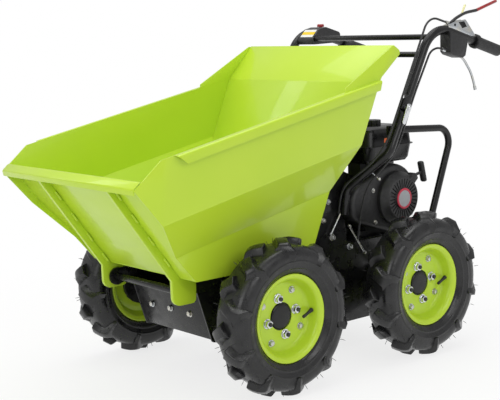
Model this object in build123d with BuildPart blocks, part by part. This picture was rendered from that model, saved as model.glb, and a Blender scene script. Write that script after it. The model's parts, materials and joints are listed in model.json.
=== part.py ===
"""Site dumper: four-wheeled walk-behind skip dumper with a forward-tipping skip.

Frame in millimetres: +X forward, +Y the machine's left, +Z up, ground at Z = 0, origin midway
between the skip's nose and the grips. Every sub-part is its own solid, written to parts/.
"""
import os
from math import acos, atan2, cos, radians, sin, sqrt, tan

from build123d import *

os.makedirs("parts", exist_ok=True)

# ---- driving dimensions: wheels ----------------------------------------------------------
FRONT_AXLE_X = 250.0
REAR_AXLE_X = -274.0
WHEEL_Y = 314.0                # tyre centre plane
TYRE_R = 203.0                 # over the lugs
LUG_DEPTH = 16.0
TYRE_HALF_W = 54.0
BEAD_R = 101.6                 # 8 inch rim seat
RIM_FLANGE_R = 114.0
RIM_HALF_W = 34.0
LUGS_PER_SIDE = 10
LUG_W = 25.0
LUG_SWEEP = 32.0               # degrees between a lug and the axle
HUB_CAP_R = 33.0
STUD_CIRCLE_R = 49.0
AXLE_Z = TYRE_R
AXLE_TUBE_R = 24.0
AXLE_SHAFT_R = 15.0
RUNNING = 0.05                 # radial clearance of shafts in tubes and lugs

# ---- skip --------------------------------------------------------------------------------
SHEET = 3.0
FOLD_R = 7.0                   # outside radius of the long folds
FLOOR_Z = 312.0                # underside of the skip floor
FLOOR_FRONT_X = 452.5
FLOOR_REAR_X = 66.5            # lower rear corner of the side sheets
FOLD_RISE = 0.2                # the long folds and the rim climb this much per mm to the rear
# half width and height over the floor, at the floor's front edge; the floor alone is level
SKIP_SECTION = (               # half_width, height, climbs
    (227.0, 0.0, False),       # floor
    (227.0, 81.0, True),       # lower fold
    (297.0, 195.0, True),      # upper fold
    (305.0, 351.0, True),      # rim
    (294.0, 500.0, True),      # wings beside the guard
)
FLOOR_HALF_W = SKIP_SECTION[0][0]
SKIP_RIM_HALF_W, RIM_HEIGHT = SKIP_SECTION[3][:2]
NOSE_X = 680.0                 # foremost point of the skip
NOSE_Z = 571.0
CHUTE_TOP_X = 657.5            # where the chute bends over into the nose
CHUTE_TOP_Z = 589.0
NOSE_TOP_X = 601.5             # where the rim turns down to the nose
BACK_LEAN = 24.7               # back plate, degrees from upright
BACK_X = -32.5                 # inner face of the back plate at BACK_Z
BACK_Z = 609.0
GUARD_Z = 773.0                # fold between back plate and guard
GUARD_LEAN = 42.0
GUARD_TOP_Z = 869.0
WING_BACK = 27.0               # the wing runs this far behind the guard
WING_FRONT_X = 5.0
WING_STEP = 10.0
SHEET_BACK = 30.0              # upper rear corner of the side sheet, behind the back plate
FLANGE_OUT = 16.0              # rim flange, out and down
FLANGE_DOWN = 26.0
FLANGE_FRONT_X = 565.0
FLANGE_PROUD = 0.4             # the flange's weld stands over the side sheet's edge

# ---- tipping pivot and chassis -----------------------------------------------------------
PIVOT_X = 437.5
PIVOT_Z = 272.0
EAR_T = 10.0
EAR_GAP = 3.0                  # between an ear and its chassis lug
EAR_DROP = 30.0
RIB_DEPTH = 20.0
TIP_SHAFT_R = 10.0
LUG_EYE_R = 24.0
PLATE = 5.0                    # chassis plate
CHASSIS_HALF_W = 147.0
FRONT_BELLY_Z = 123.0
BELLY_Z = 86.0
DECK_Z = 313.0                 # underside of the engine deck
DECK_T = 6.0
REAR_X = -400.0
TOWER_TOP_Z = 500.0
REST_CLEAR = 0.4               # skip floor over its rest
GEARBOX_SIZE = (220.0, 150.0, 165.0)
GEARBOX_X = -20.0

# ---- engine ------------------------------------------------------------------------------
ENGINE_X = -322.0              # crankshaft
CRANK_Z = 428.0
RECOIL_Y = 210.0               # outer face of the recoil starter
FAN_Y = 178.0                  # outer face of the fan housing
CASE_Y = 125.0                 # left face of the crankcase
CASE_HALF_L = 75.0
CASE_HEIGHT = 156.0
CASE_LEN = 190.0               # left face to right face, and the foot's length
POST_LAP = 30.0                # the posts start this far down in the crankcase
CYLINDER_TILT = 25.0           # degrees over the horizontal, leaning forward
CYLINDER_Y = 22.0
CYLINDER_DROP = 24.0           # cylinder axis under the crankshaft
FIN_START = 62.0               # first cooling fin, along the cylinder from the crankshaft
FIN_PITCH = 8.0
FIN_COUNT = 8
TANK_Z = 535.0
TANK_SIZE = (193.0, 156.0, 102.0)
TANK_X = -288.0
TANK_Y = 120.0
SEAM_SHARE = 0.48              # tank seam, share of the tank's height
SEAM_OUT = 6.0
MUFFLER_Z = 527.0
MUFFLER_SIZE = (165.0, 130.0, 93.0)
MUFFLER_X = -274.5
MUFFLER_Y = -30.0
CLEANER_Z = 500.0
CLEANER_SIZE = (125.0, 130.0)
CLEANER_X = -420.0
FAN_R = 98.0
FAN_EDGE_R = 14.0
STARTER_R = 77.0
SLOT_COUNT = 30
SLOT_IN_R = 33.5
SLOT_OUT_R = 57.0
SLOT_W = 3.4

# ---- handles -----------------------------------------------------------------------------
TUBE_R = 12.5
HOOP_R = 10.0
BAR_R = 8.0
HANDLE_Y = 270.0
HOOP_Y = 243.0
FLAT_T = 6.0                   # flattened tube end
FLAT_W = 34.0
FLAT_LEN = 58.0                # round to round, over the lap joint
FLAT_START = 14.0              # from round to flat
HANDLE_BEND = 95.0
HANDLE_END = Vector(-671.5, 0, 838.3)        # rear end of the tube, in the handle's plane
HANDLE_CORNER = Vector(-380.0, 0, 922.0)     # where grip run and upright would cross
HANDLE_JOINT = Vector(-251.5, 0, 675.0)      # top of the lower tube
CROSSBARS = (                  # name, distance up the upright from the joint, set back
    ("upper", 238.0, 6.0),
    ("lower", 184.0, 0.0),
)
GRIP_R = 17.0
GRIP_LEN = 112.0
GRIP_CAP = 4.0
COLLAR_R = 21.0
CABLE_R = 3.0

SIDES = (("left", 1), ("right", -1))
FREE_ARC_SHARE = 0.45          # an arc's tangent length, as a share of its shorter run


# ---- helpers -----------------------------------------------------------------------------
def finish(part, name):
    """Label a finished piece and write it as its own STEP file."""
    part.label = name
    export_step(part, f"parts/{name}.step")


def side_of(part, sign):
    """The piece itself on the left, its mirror image on the right."""
    return part if sign > 0 else mirror(part, about=Plane.XZ)


def outline_plate(points, y_low, y_high, rounded=()):
    """A flat piece cut to an X-Z outline between two Y stations.

    rounded lists (corner number, radius) for the corners that are not sharp.
    """
    with BuildPart() as plate:
        with BuildSketch(Plane.XZ.offset(-y_high)) as outline:
            with BuildLine():
                Polyline(*points, close=True)
            make_face()
            for corner, radius in rounded:
                x, z = points[corner]
                fillet(outline.vertices().sort_by_distance((x, z, 0))[0], radius=radius)
        extrude(amount=y_high - y_low)
    return plate.part


def tube(points, radius, bends, cut_by=()):
    """A round tube along straight runs joined by tangent arcs, cut back from the given solids."""
    with BuildPart() as pipe:
        with BuildLine() as run:
            if len(points) > 2:
                FilletPolyline(*points, radius=bends)
            else:
                Line(*points)
        with BuildSketch(Plane(origin=run.line @ 0, z_dir=run.line % 0)):
            Circle(radius)
        sweep()
        for solid in cut_by:
            add(solid, mode=Mode.SUBTRACT)
    return pipe.part


def free_bends(points):
    """Largest arc radius that each corner of a cable's route allows."""
    radii = []
    for before, corner, after in zip(points, points[1:], points[2:]):
        first, second = Vector(corner) - Vector(before), Vector(after) - Vector(corner)
        turn = acos(first.normalized().dot(second.normalized()))
        radii.append(FREE_ARC_SHARE * min(first.length, second.length) / tan(turn / 2))
    return radii


# ---- skip --------------------------------------------------------------------------------
def section_points(x, rows=SKIP_SECTION):
    """Closed Y-Z outline of the skip's outside at station x."""
    climb = (FLOOR_FRONT_X - x) * FOLD_RISE
    right = [(half_w, FLOOR_Z + height + (climb if climbs else 0.0)) for half_w, height, climbs in rows]
    return right + [(-y, z) for y, z in reversed(right)]


def rim_z(x):
    return FLOOR_Z + RIM_HEIGHT + (FLOOR_FRONT_X - x) * FOLD_RISE


def back_x(z):
    return BACK_X - (z - BACK_Z) * tan(radians(BACK_LEAN))


STATIONS = (NOSE_X + 60.0, BACK_X - 270.0)
skip_volumes = []
for inset in (0.0, SHEET):
    with BuildPart() as volume:
        for station in STATIONS:
            with BuildSketch(Plane.YZ.offset(station)) as section:
                with BuildLine():
                    Polyline(*section_points(station), close=True)
                make_face()
                levels = section.vertices().group_by(Axis.Y)
                fillet(levels[1] + levels[2], radius=FOLD_R)
                if inset:
                    offset(amount=-inset, kind=Kind.INTERSECTION, mode=Mode.REPLACE)
        loft(ruled=True)
    skip_volumes.append(volume.part)
skip_outside, skip_inside = skip_volumes

guard_top_x = back_x(GUARD_Z) - (GUARD_TOP_Z - GUARD_Z) * tan(radians(GUARD_LEAN))
wing_foot_x = back_x(GUARD_Z) - WING_BACK
side_outline = (               # x, z
    (FLOOR_FRONT_X, FLOOR_Z),
    (NOSE_X - 1.0, NOSE_Z - 1.0),
    (NOSE_TOP_X, rim_z(NOSE_TOP_X)),
    (WING_FRONT_X, rim_z(WING_FRONT_X)),
    (WING_FRONT_X - 1.0, rim_z(WING_FRONT_X) + WING_STEP),
    (guard_top_x + 5.0, GUARD_TOP_Z),
    (guard_top_x - 24.0, GUARD_TOP_Z - 19.0),
    (wing_foot_x, rim_z(wing_foot_x) + 5.0),
    (wing_foot_x + 8.0, rim_z(wing_foot_x) - 8.0),
    (back_x(BACK_Z) - SHEET_BACK, BACK_Z),
    (FLOOR_REAR_X, FLOOR_Z),
)
floor_half_w = FLOOR_HALF_W - SHEET
flange_y = SKIP_RIM_HALF_W
flange_rear_x = back_x(GUARD_Z) - 14.0
flange_run = flange_rear_x - FLANGE_FRONT_X
flange_outline = (
    (FLANGE_FRONT_X, rim_z(FLANGE_FRONT_X) + 1.0),
    (flange_rear_x, rim_z(flange_rear_x) + 1.0),
    (flange_rear_x + 8.0, rim_z(flange_rear_x) - FLANGE_DOWN),
    (FLANGE_FRONT_X - 30.0, rim_z(FLANGE_FRONT_X) - FLANGE_DOWN + 5.0),
)
with BuildPart() as rim_flange:
    with BuildSketch(Plane.YZ.offset(FLANGE_FRONT_X)) as angle:
        with BuildLine():
            top, edge = rim_z(FLANGE_FRONT_X) + FLANGE_PROUD, flange_y + FLANGE_OUT
            root = flange_y - SHEET + FLANGE_PROUD
            Polyline(
                (root, top), (edge, top), (edge, top - FLANGE_DOWN), (edge - SHEET, top - FLANGE_DOWN),
                (edge - SHEET, top - SHEET), (root, top - SHEET), close=True)
        make_face()
        fillet(angle.vertices().sort_by_distance((edge, top, 0))[0], radius=2 * SHEET)
        fillet(angle.vertices().sort_by_distance((edge - SHEET, top - SHEET, 0))[0], radius=SHEET)
    extrude(amount=-flange_run * sqrt(1 + FOLD_RISE ** 2), dir=(-1, 0, FOLD_RISE))
    add(outline_plate(flange_outline, flange_y - SHEET, edge + 1.0), mode=Mode.INTERSECT)

floor_band = (
    (FLOOR_REAR_X - FOLD_R, FLOOR_Z - SHEET),
    (FLOOR_FRONT_X + FOLD_R, FLOOR_Z - SHEET),
    (FLOOR_FRONT_X + FOLD_R, FLOOR_Z + SHEET),
    (FLOOR_REAR_X - FOLD_R, FLOOR_Z + SHEET),
)
with BuildPart() as side_sheet:
    add(outline_plate(side_outline, floor_half_w / 2, flange_y + 1.0, rounded=((5, 10.0), (6, 10.0))))
    add(skip_outside, mode=Mode.INTERSECT)
    add(skip_inside, mode=Mode.SUBTRACT)
    add(outline_plate(floor_band, 0.0, floor_half_w), mode=Mode.SUBTRACT)
    add(rim_flange.part)
for side, sign in SIDES:
    finish(side_of(side_sheet.part, sign), f"skip_side_{side}")

finish(outline_plate((
    (back_x(FLOOR_Z), FLOOR_Z),
    (FLOOR_FRONT_X, FLOOR_Z),
    (FLOOR_FRONT_X, FLOOR_Z + SHEET),
    (back_x(FLOOR_Z + SHEET), FLOOR_Z + SHEET),
), -floor_half_w, floor_half_w), "skip_floor")


def bent_sheet(points, bend, name, trim_below):
    """A sheet bent along the X-Z line of its outer face and trimmed to the skip's inside."""
    full_w = flange_y + SHEET
    with BuildPart() as sheet:
        with BuildSketch(Plane.XZ.offset(-full_w)):
            with BuildLine():
                path = FilletPolyline(*points, radius=bend)
                offset(path, amount=SHEET, side=Side.LEFT)
            make_face()
        extrude(amount=2 * full_w)
        add(skip_inside, mode=Mode.INTERSECT)
        with BuildSketch(Plane.XY.offset(trim_below)):
            Rectangle(4 * NOSE_X, 4 * NOSE_X)
        extrude(amount=-trim_below, mode=Mode.SUBTRACT)
    finish(sheet.part, name)


NOSE_BEND = 7.0
bent_sheet((
    (FLOOR_FRONT_X, FLOOR_Z),
    (CHUTE_TOP_X, CHUTE_TOP_Z),
    (NOSE_X - 2.7, NOSE_Z + 1.0),
    (NOSE_X - 5.2, NOSE_Z - 12.0),
), (NOSE_BEND, SHEET), "skip_chute", FLOOR_Z + SHEET)
bent_sheet((
    (back_x(FLOOR_Z), FLOOR_Z),
    (back_x(GUARD_Z), GUARD_Z),
    (guard_top_x, GUARD_TOP_Z),
), FOLD_R, "skip_back", FLOOR_Z + SHEET)

# the ears stand outside the chassis lugs; each runs on up the chute as a rib
ear_y = CHASSIS_HALF_W + EAR_GAP
chute_angle = atan2(CHUTE_TOP_Z - FLOOR_Z, CHUTE_TOP_X - FLOOR_FRONT_X)
RIB_TOP_BACK = 22.0            # rib end, back from the nose bend
rib_top_x = CHUTE_TOP_X - RIB_TOP_BACK * cos(chute_angle)
rib_top_z = CHUTE_TOP_Z - RIB_TOP_BACK * sin(chute_angle)
ear = outline_plate((
    (PIVOT_X - 35.0, FLOOR_Z),
    (FLOOR_FRONT_X, FLOOR_Z),
    (rib_top_x, rib_top_z),
    (rib_top_x + RIB_DEPTH * sin(chute_angle), rib_top_z - RIB_DEPTH * cos(chute_angle)),
    (PIVOT_X + 40.0, FLOOR_Z - 5.0),
    (PIVOT_X + 39.0, PIVOT_Z - EAR_DROP),
    (PIVOT_X - 34.0, PIVOT_Z - EAR_DROP),
), ear_y, ear_y + EAR_T, rounded=((3, 8.0), (5, 24.0), (6, 12.0)))
for side, sign in SIDES:
    finish(side_of(ear, sign), f"skip_ear_{side}")

with BuildPart() as tip_shaft:
    with BuildSketch(Plane.XZ.offset(-ear_y)):
        with Locations((PIVOT_X, PIVOT_Z)):
            Circle(TIP_SHAFT_R)
    extrude(amount=2 * ear_y)
finish(tip_shaft.part, "skip_tip_shaft")

# ---- chassis -----------------------------------------------------------------------------
inner_half_w = CHASSIS_HALF_W - PLATE
front_foot_x = 345.5           # lower front corner of the side plates
front_knee_x = 390.5           # where the front edge turns forward to the lug
front_knee_z = PIVOT_Z - 10.0
DECK_FRONT_X = -150.0
axle_x = {"front": FRONT_AXLE_X, "rear": REAR_AXLE_X}
with BuildPart() as side_plate:
    add(outline_plate((
        (front_foot_x, FRONT_BELLY_Z),
        (front_knee_x, front_knee_z),
        (PIVOT_X - 10.0, PIVOT_Z - LUG_EYE_R + 2.0),
        (PIVOT_X - 10.0, PIVOT_Z + LUG_EYE_R - 2.0),
        (80.0, FLOOR_Z - 14.0),
        (5.0, TOWER_TOP_Z - 30.0),
        (-30.0, TOWER_TOP_Z),
        (-110.0, TOWER_TOP_Z),
        (DECK_FRONT_X, DECK_Z + 40.0),
        (DECK_FRONT_X, DECK_Z),
        (REAR_X, DECK_Z),
        (REAR_X, 230.0),
        (-330.0, BELLY_Z),
        (150.0, BELLY_Z),
    ), inner_half_w, CHASSIS_HALF_W, rounded=((0, 8.0), (6, 14.0), (7, 14.0), (12, 30.0), (13, 60.0))))
    for x, z, radius in ((PIVOT_X, PIVOT_Z, LUG_EYE_R), (FRONT_AXLE_X, AXLE_Z, AXLE_TUBE_R + 10),
                         (REAR_AXLE_X, AXLE_Z, AXLE_TUBE_R + 10)):
        with BuildSketch(Plane.XZ.offset(-CHASSIS_HALF_W)):
            with Locations((x, z)):
                Circle(radius)
        extrude(amount=PLATE)
    for x, z, radius in ((PIVOT_X, PIVOT_Z, TIP_SHAFT_R + RUNNING), (FRONT_AXLE_X, AXLE_Z, AXLE_TUBE_R),
                         (REAR_AXLE_X, AXLE_Z, AXLE_TUBE_R)):
        with BuildSketch(Plane.XZ.offset(-CHASSIS_HALF_W)):
            with Locations((x, z)):
                Circle(radius)
        extrude(amount=PLATE, mode=Mode.SUBTRACT)
for side, sign in SIDES:
    finish(side_of(side_plate.part, sign), f"side_plate_{side}")


def cross_piece(points, name):
    """A plate across the chassis between the side plates, from its X-Z outline."""
    finish(outline_plate(points, -inner_half_w, inner_half_w), name)


front_rise = (front_knee_x - front_foot_x) / (front_knee_z - FRONT_BELLY_Z)
cross_piece((
    (front_foot_x + 7.0 * front_rise, FRONT_BELLY_Z + 7.0),
    (front_knee_x, front_knee_z),
    (front_knee_x - PLATE, front_knee_z),
    (front_foot_x + 7.0 * front_rise - PLATE, FRONT_BELLY_Z + 7.0),
), "front_plate")
cross_piece((
    (REAR_X, DECK_Z), (REAR_X + PLATE, DECK_Z), (REAR_X + PLATE, 231.0), (-325.0, BELLY_Z + PLATE),
    (140.0, BELLY_Z + PLATE), (front_foot_x - 20.0, FRONT_BELLY_Z + PLATE),
    (front_foot_x - 20.0, FRONT_BELLY_Z), (140.0, BELLY_Z), (-330.0, BELLY_Z), (REAR_X, 229.0),
), "belly_plate")
REST_X = 60.0
cross_piece((
    (REST_X, FLOOR_Z - 30.0), (REST_X + 3, FLOOR_Z - 30.0), (REST_X + 3, FLOOR_Z - REST_CLEAR - 3),
    (REST_X + 40, FLOOR_Z - REST_CLEAR - 3), (REST_X + 40, FLOOR_Z - REST_CLEAR), (REST_X, FLOOR_Z - REST_CLEAR),
), "skip_rest")
cross_piece((
    (0.0, TOWER_TOP_Z - 22.0), (-28.0, TOWER_TOP_Z), (-108.0, TOWER_TOP_Z), (-108.0, TOWER_TOP_Z - PLATE),
    (-30.0, TOWER_TOP_Z - PLATE), (-5.0, TOWER_TOP_Z - 27.0),
), "tower_plate")

with BuildPart() as gearbox:
    length, width, height = GEARBOX_SIZE
    with BuildSketch(Plane.XY.offset(BELLY_Z + PLATE)):
        with Locations((GEARBOX_X, 0)):
            RectangleRounded(length, width, 20)
    extrude(amount=height)
    with BuildSketch(Plane.XY.offset(BELLY_Z + PLATE + height)):
        with Locations((GEARBOX_X, 0)):
            RectangleRounded(length + 20, width + 20, 24)
    extrude(amount=8)
finish(gearbox.part, "gearbox")

AXLE_TUBE_END_Y = WHEEL_Y - 56.0
SOCKET_DEPTH = 80.0
for axle, x in axle_x.items():
    with BuildPart() as axle_tube:
        with BuildSketch(Plane.XZ.offset(-AXLE_TUBE_END_Y)):
            with Locations((x, AXLE_Z)):
                Circle(AXLE_TUBE_R)
        extrude(amount=2 * AXLE_TUBE_END_Y)
        for _, sign in SIDES:
            with BuildSketch(Plane.XZ.offset(-sign * AXLE_TUBE_END_Y)):
                with Locations((x, AXLE_Z)):
                    Circle(AXLE_SHAFT_R + RUNNING)
            extrude(amount=sign * SOCKET_DEPTH, mode=Mode.SUBTRACT)
    finish(axle_tube.part, f"axle_tube_{axle}")

deck_top = DECK_Z + DECK_T
HOOP_FOOT_X = -385.0
deck_len = DECK_FRONT_X - REAR_X
with BuildPart() as deck:
    with BuildSketch(Plane.XY.offset(DECK_Z)) as deck_outline:
        with Locations((DECK_FRONT_X - deck_len / 2, 0)):
            Rectangle(deck_len, 2 * CHASSIS_HALF_W)
        with Locations((HOOP_FOOT_X - 0.5, 0)):
            Rectangle(30, 2 * (HOOP_Y + HOOP_R + 6))
        corners = deck_outline.vertices().group_by(Axis.Y)
        fillet(corners[0] + corners[-1], radius=9)
    extrude(amount=DECK_T)
finish(deck.part, "engine_deck")

# ---- engine ------------------------------------------------------------------------------
# crankcase and finned cylinder as one heavy block, with its feet and the posts under tank,
# exhaust and air cleaner
cylinder_dir = Vector(cos(radians(CYLINDER_TILT)), 0, sin(radians(CYLINDER_TILT)))
case_top = deck_top + CASE_HEIGHT
head_start = FIN_START + FIN_PITCH * FIN_COUNT
cylinder_slices = [            # start along the cylinder, thickness, width across, depth
    (30.0, head_start - 30.0, 84.0, 80.0),           # barrel
    (head_start, 28.0, 108.0, 100.0),                # head
    (head_start + 28.0, 22.0, 86.0, 66.0),           # valve cover
] + [(FIN_START + i * FIN_PITCH, 3.0, 112.0, 100.0) for i in range(FIN_COUNT)]
posts = (                      # x, y, length, width, top
    (TANK_X - 10.0, TANK_Y - 35.0, 100.0, 50.0, TANK_Z),
    (MUFFLER_X + 24.5, MUFFLER_Y + 10.0, 60.0, 44.0, MUFFLER_Z),
    (CLEANER_X + 44.0, MUFFLER_Y + 20.0, 34.0, 50.0, CLEANER_Z),
)
with BuildPart() as engine_block:
    with BuildSketch(Plane.XY.offset(deck_top)):
        with Locations((ENGINE_X, CASE_Y - CASE_LEN / 2)):
            RectangleRounded(CASE_LEN, CASE_LEN, 12)
    extrude(amount=14)
    with BuildSketch(Plane.XZ.offset(-CASE_Y)) as case:
        with Locations((ENGINE_X, deck_top + CASE_HEIGHT / 2)):
            RectangleRounded(2 * CASE_HALF_L, CASE_HEIGHT, 30)
    extrude(amount=CASE_LEN)
    for start, thick, across, depth in cylinder_slices:
        base = Vector(ENGINE_X, CYLINDER_Y, CRANK_Z - CYLINDER_DROP) + cylinder_dir * start
        with BuildSketch(Plane(origin=base, x_dir=(0, 1, 0), z_dir=cylinder_dir)):
            RectangleRounded(across, depth, 9)
        extrude(amount=thick)
    for x, y, length, width, top in posts:
        with BuildSketch(Plane.XY.offset(case_top - POST_LAP)):
            with Locations((x, y)):
                Rectangle(length, width)
        extrude(amount=top - case_top + POST_LAP)
finish(engine_block.part, "engine_block")

with BuildPart() as fan_housing:
    with BuildSketch(Plane.XZ.offset(-FAN_Y)):
        with Locations((ENGINE_X + 5, CRANK_Z)):
            Circle(FAN_R)
        with Locations((ENGINE_X + 117, CRANK_Z - 3)):
            Circle(0.62 * FAN_R)
        make_hull()
    extrude(amount=FAN_Y - CASE_Y)
    fillet(fan_housing.faces().sort_by(Axis.Y)[-1].edges(), radius=FAN_EDGE_R)
finish(fan_housing.part, "fan_housing")

# T-shaped starter grip on its rope, pulled home against the guide
GRIP_BAR_LEN = 62.0
with BuildPart() as starter_grip:
    grip_y = FAN_Y + 10
    stem_start = Vector(ENGINE_X - 69.5, grip_y, CRANK_Z + 57)
    bar_centre = Vector(-427, grip_y, 494)
    stem_dir = (bar_centre - stem_start).normalized()
    bar_dir = Vector(-stem_dir.Z, 0, stem_dir.X)
    with BuildSketch(Plane(origin=stem_start, z_dir=stem_dir)):
        Circle(4.5)
    extrude(amount=(bar_centre - stem_start).length)
    with BuildSketch(Plane(origin=bar_centre - bar_dir * GRIP_BAR_LEN / 2, z_dir=bar_dir)):
        Ellipse(8.5, 10.5)
    extrude(amount=GRIP_BAR_LEN)
    fillet(starter_grip.faces().sort_by(Axis(bar_centre, bar_dir))[-1].edges(), radius=5)
    fillet(starter_grip.faces().sort_by(Axis(bar_centre, bar_dir))[0].edges(), radius=5)
finish(starter_grip.part, "starter_grip")

# recoil starter: dished cover with a ring of radial cooling slots round a plain badge boss
with BuildPart() as recoil_starter:
    with BuildSketch(Plane.XY.offset(CRANK_Z)) as dish:
        with BuildLine():
            Polyline(
                (ENGINE_X, FAN_Y), (ENGINE_X + STARTER_R, FAN_Y), (ENGINE_X + STARTER_R, FAN_Y + 12),
                (ENGINE_X + 63, RECOIL_Y - 2), (ENGINE_X + 60, RECOIL_Y), (ENGINE_X + 31, RECOIL_Y - 3),
                (ENGINE_X + 30, RECOIL_Y), (ENGINE_X, RECOIL_Y + 2), close=True)
        make_face()
    revolve(axis=Axis((ENGINE_X, 0, CRANK_Z), (0, 1, 0)))
    with BuildSketch(Plane.XZ.offset(-RECOIL_Y)):
        with Locations((ENGINE_X, CRANK_Z)):
            with PolarLocations((SLOT_IN_R + SLOT_OUT_R) / 2, SLOT_COUNT):
                Rectangle(SLOT_OUT_R - SLOT_IN_R, SLOT_W)
    extrude(amount=8, mode=Mode.SUBTRACT)
    with BuildSketch(Plane.XZ.offset(-(FAN_Y + 20))):   # rope guide at the rim
        with Locations((ENGINE_X - 58, CRANK_Z + 50)):
            RectangleRounded(30, 24, 5, rotation=-41)
    extrude(amount=20)
    add(starter_grip.part, mode=Mode.SUBTRACT)
finish(recoil_starter.part, "recoil_starter")

# fuel tank: two pressed halves, seam-welded at a flange
tank_l, tank_w, tank_h = TANK_SIZE
tank_halves = (                # share of the height, narrower by, corner radius
    ((0.0, 30.0, 16.0), (0.10, 14.0, 24.0), (SEAM_SHARE, 0.0, 30.0)),
    ((SEAM_SHARE, 0.0, 30.0), (0.84, 8.0, 28.0), (0.95, 18.0, 26.0), (1.0, 44.0, 20.0)),
)
with BuildPart() as fuel_tank:
    for stations in tank_halves:
        for height, taper, corner in stations:
            with BuildSketch(Plane.XY.offset(TANK_Z + height * tank_h)):
                with Locations((TANK_X, TANK_Y)):
                    RectangleRounded(tank_l - taper, tank_w - taper, corner)
        loft(ruled=True)
    with BuildSketch(Plane.XY.offset(TANK_Z + SEAM_SHARE * tank_h - 1.2)):
        with Locations((TANK_X, TANK_Y)):
            RectangleRounded(tank_l + 2 * SEAM_OUT, tank_w + 2 * SEAM_OUT, 34)
    extrude(amount=2.4)
finish(fuel_tank.part, "fuel_tank")

CAP_R = 26.0
with BuildPart() as fuel_cap:
    with BuildSketch(Plane.XY.offset(TANK_Z + tank_h)):
        with Locations((TANK_X, TANK_Y)):
            Circle(CAP_R)
            with PolarLocations(CAP_R + 1.5, 10):
                Circle(4.5, mode=Mode.SUBTRACT)
    extrude(amount=16)
    fillet(fuel_cap.faces().sort_by(Axis.Z)[-1].edges(), radius=1.5)
finish(fuel_cap.part, "fuel_cap")

# exhaust under its louvred guard
with BuildPart() as muffler:
    length, width, height = MUFFLER_SIZE
    with BuildSketch(Plane.XY.offset(MUFFLER_Z)):
        with Locations((MUFFLER_X, MUFFLER_Y)):
            RectangleRounded(length, width, 22)
    extrude(amount=height)
    fillet(muffler.faces().sort_by(Axis.Z)[-1].edges(), radius=8)
    with BuildSketch(Plane.XY.offset(MUFFLER_Z + height)):
        with Locations((MUFFLER_X, MUFFLER_Y)):
            with GridLocations(42, 12, 3, 7):
                SlotOverall(34, 5)
    extrude(amount=-5, mode=Mode.SUBTRACT)
    with BuildSketch(Plane.YZ.offset(MUFFLER_X + length / 2)):
        with Locations((MUFFLER_Y, MUFFLER_Z + height / 2)):
            with GridLocations(36, 12, 2, 5):
                SlotOverall(28, 5)
    extrude(amount=-5, mode=Mode.SUBTRACT)
finish(muffler.part, "muffler_guard")

cleaner_slices = (             # base, height, shrink
    (0.0, 76.0, 0.0),          # body
    (76.0, 3.0, 6.0),          # parting groove
    (79.0, 25.0, 0.0),         # cover
    (104.0, 6.0, 10.0),        # crown
)
with BuildPart() as air_cleaner:
    length, width = CLEANER_SIZE
    for base, height, shrink in cleaner_slices:
        with BuildSketch(Plane.XY.offset(CLEANER_Z + base)):
            with Locations((CLEANER_X, MUFFLER_Y)):
                RectangleRounded(length - shrink, width - shrink, 18 - shrink / 2)
        extrude(amount=height)
    with BuildSketch(Plane.XY.offset(CLEANER_Z + base + height)):      # wing nut
        with Locations((CLEANER_X, MUFFLER_Y)):
            RegularPolygon(13, 8)
    extrude(amount=9)
finish(air_cleaner.part, "air_cleaner")

# belt drive from the crankshaft to the gearbox, under a cover on the right
BELT_Y = -96.0                 # left face of the cover
BELT_W = 38.0
with BuildPart() as belt_cover:
    with BuildSketch(Plane.XZ.offset(-BELT_Y)):
        with Locations((ENGINE_X, CRANK_Z)):
            Circle(58)
        with Locations((-185.0, CRANK_Z - 38)):
            Circle(44)
        make_hull()
    extrude(amount=BELT_W)
    fillet(belt_cover.faces().sort_by(Axis.Y)[0].edges(), radius=8)
    with BuildSketch(Plane.XZ.offset(-BELT_Y)):                        # crankshaft housing
        with Locations((ENGINE_X, CRANK_Z)):
            Circle(30)
    extrude(amount=-(CASE_Y - CASE_LEN - BELT_Y))
finish(belt_cover.part, "belt_cover")

# ---- handles -----------------------------------------------------------------------------
grip_dir = (HANDLE_CORNER - HANDLE_END).normalized()
upright_dir = (HANDLE_CORNER - HANDLE_JOINT).normalized()
flat_top = HANDLE_JOINT + upright_dir * FLAT_LEN
LOWER_RUN = 113.0              # the lower tube's straight run, in line with the upright
lower_y = CHASSIS_HALF_W + TUBE_R + 0.5
TOWER_KNEE = (-140.0, 470.0)
HOOP_CORNER = (-500.0, 620.0)
HOOP_FRONT = (-262.0, 633.0)
HOOP_BEND = 45.0


def flat_end(origin, direction, sign, lap):
    """A tube end pressed flat; lap is 1 for the outer and -1 for the inner of the two."""
    with BuildPart() as flat:
        lap_y = Vector(0, sign * lap * FLAT_T / 2, 0)
        with BuildSketch(Plane(origin=origin, x_dir=(0, 1, 0), z_dir=direction)):
            Circle(TUBE_R)
        foot = Plane(origin=origin + direction * FLAT_START + lap_y, x_dir=(0, 1, 0), z_dir=direction)
        with BuildSketch(foot):
            Ellipse(FLAT_T / 2, FLAT_W / 2)
        loft(ruled=True)
        with BuildSketch(foot):
            Rectangle(FLAT_T, FLAT_W)
        extrude(amount=FLAT_LEN - 2 * FLAT_START)
    return flat.part


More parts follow.
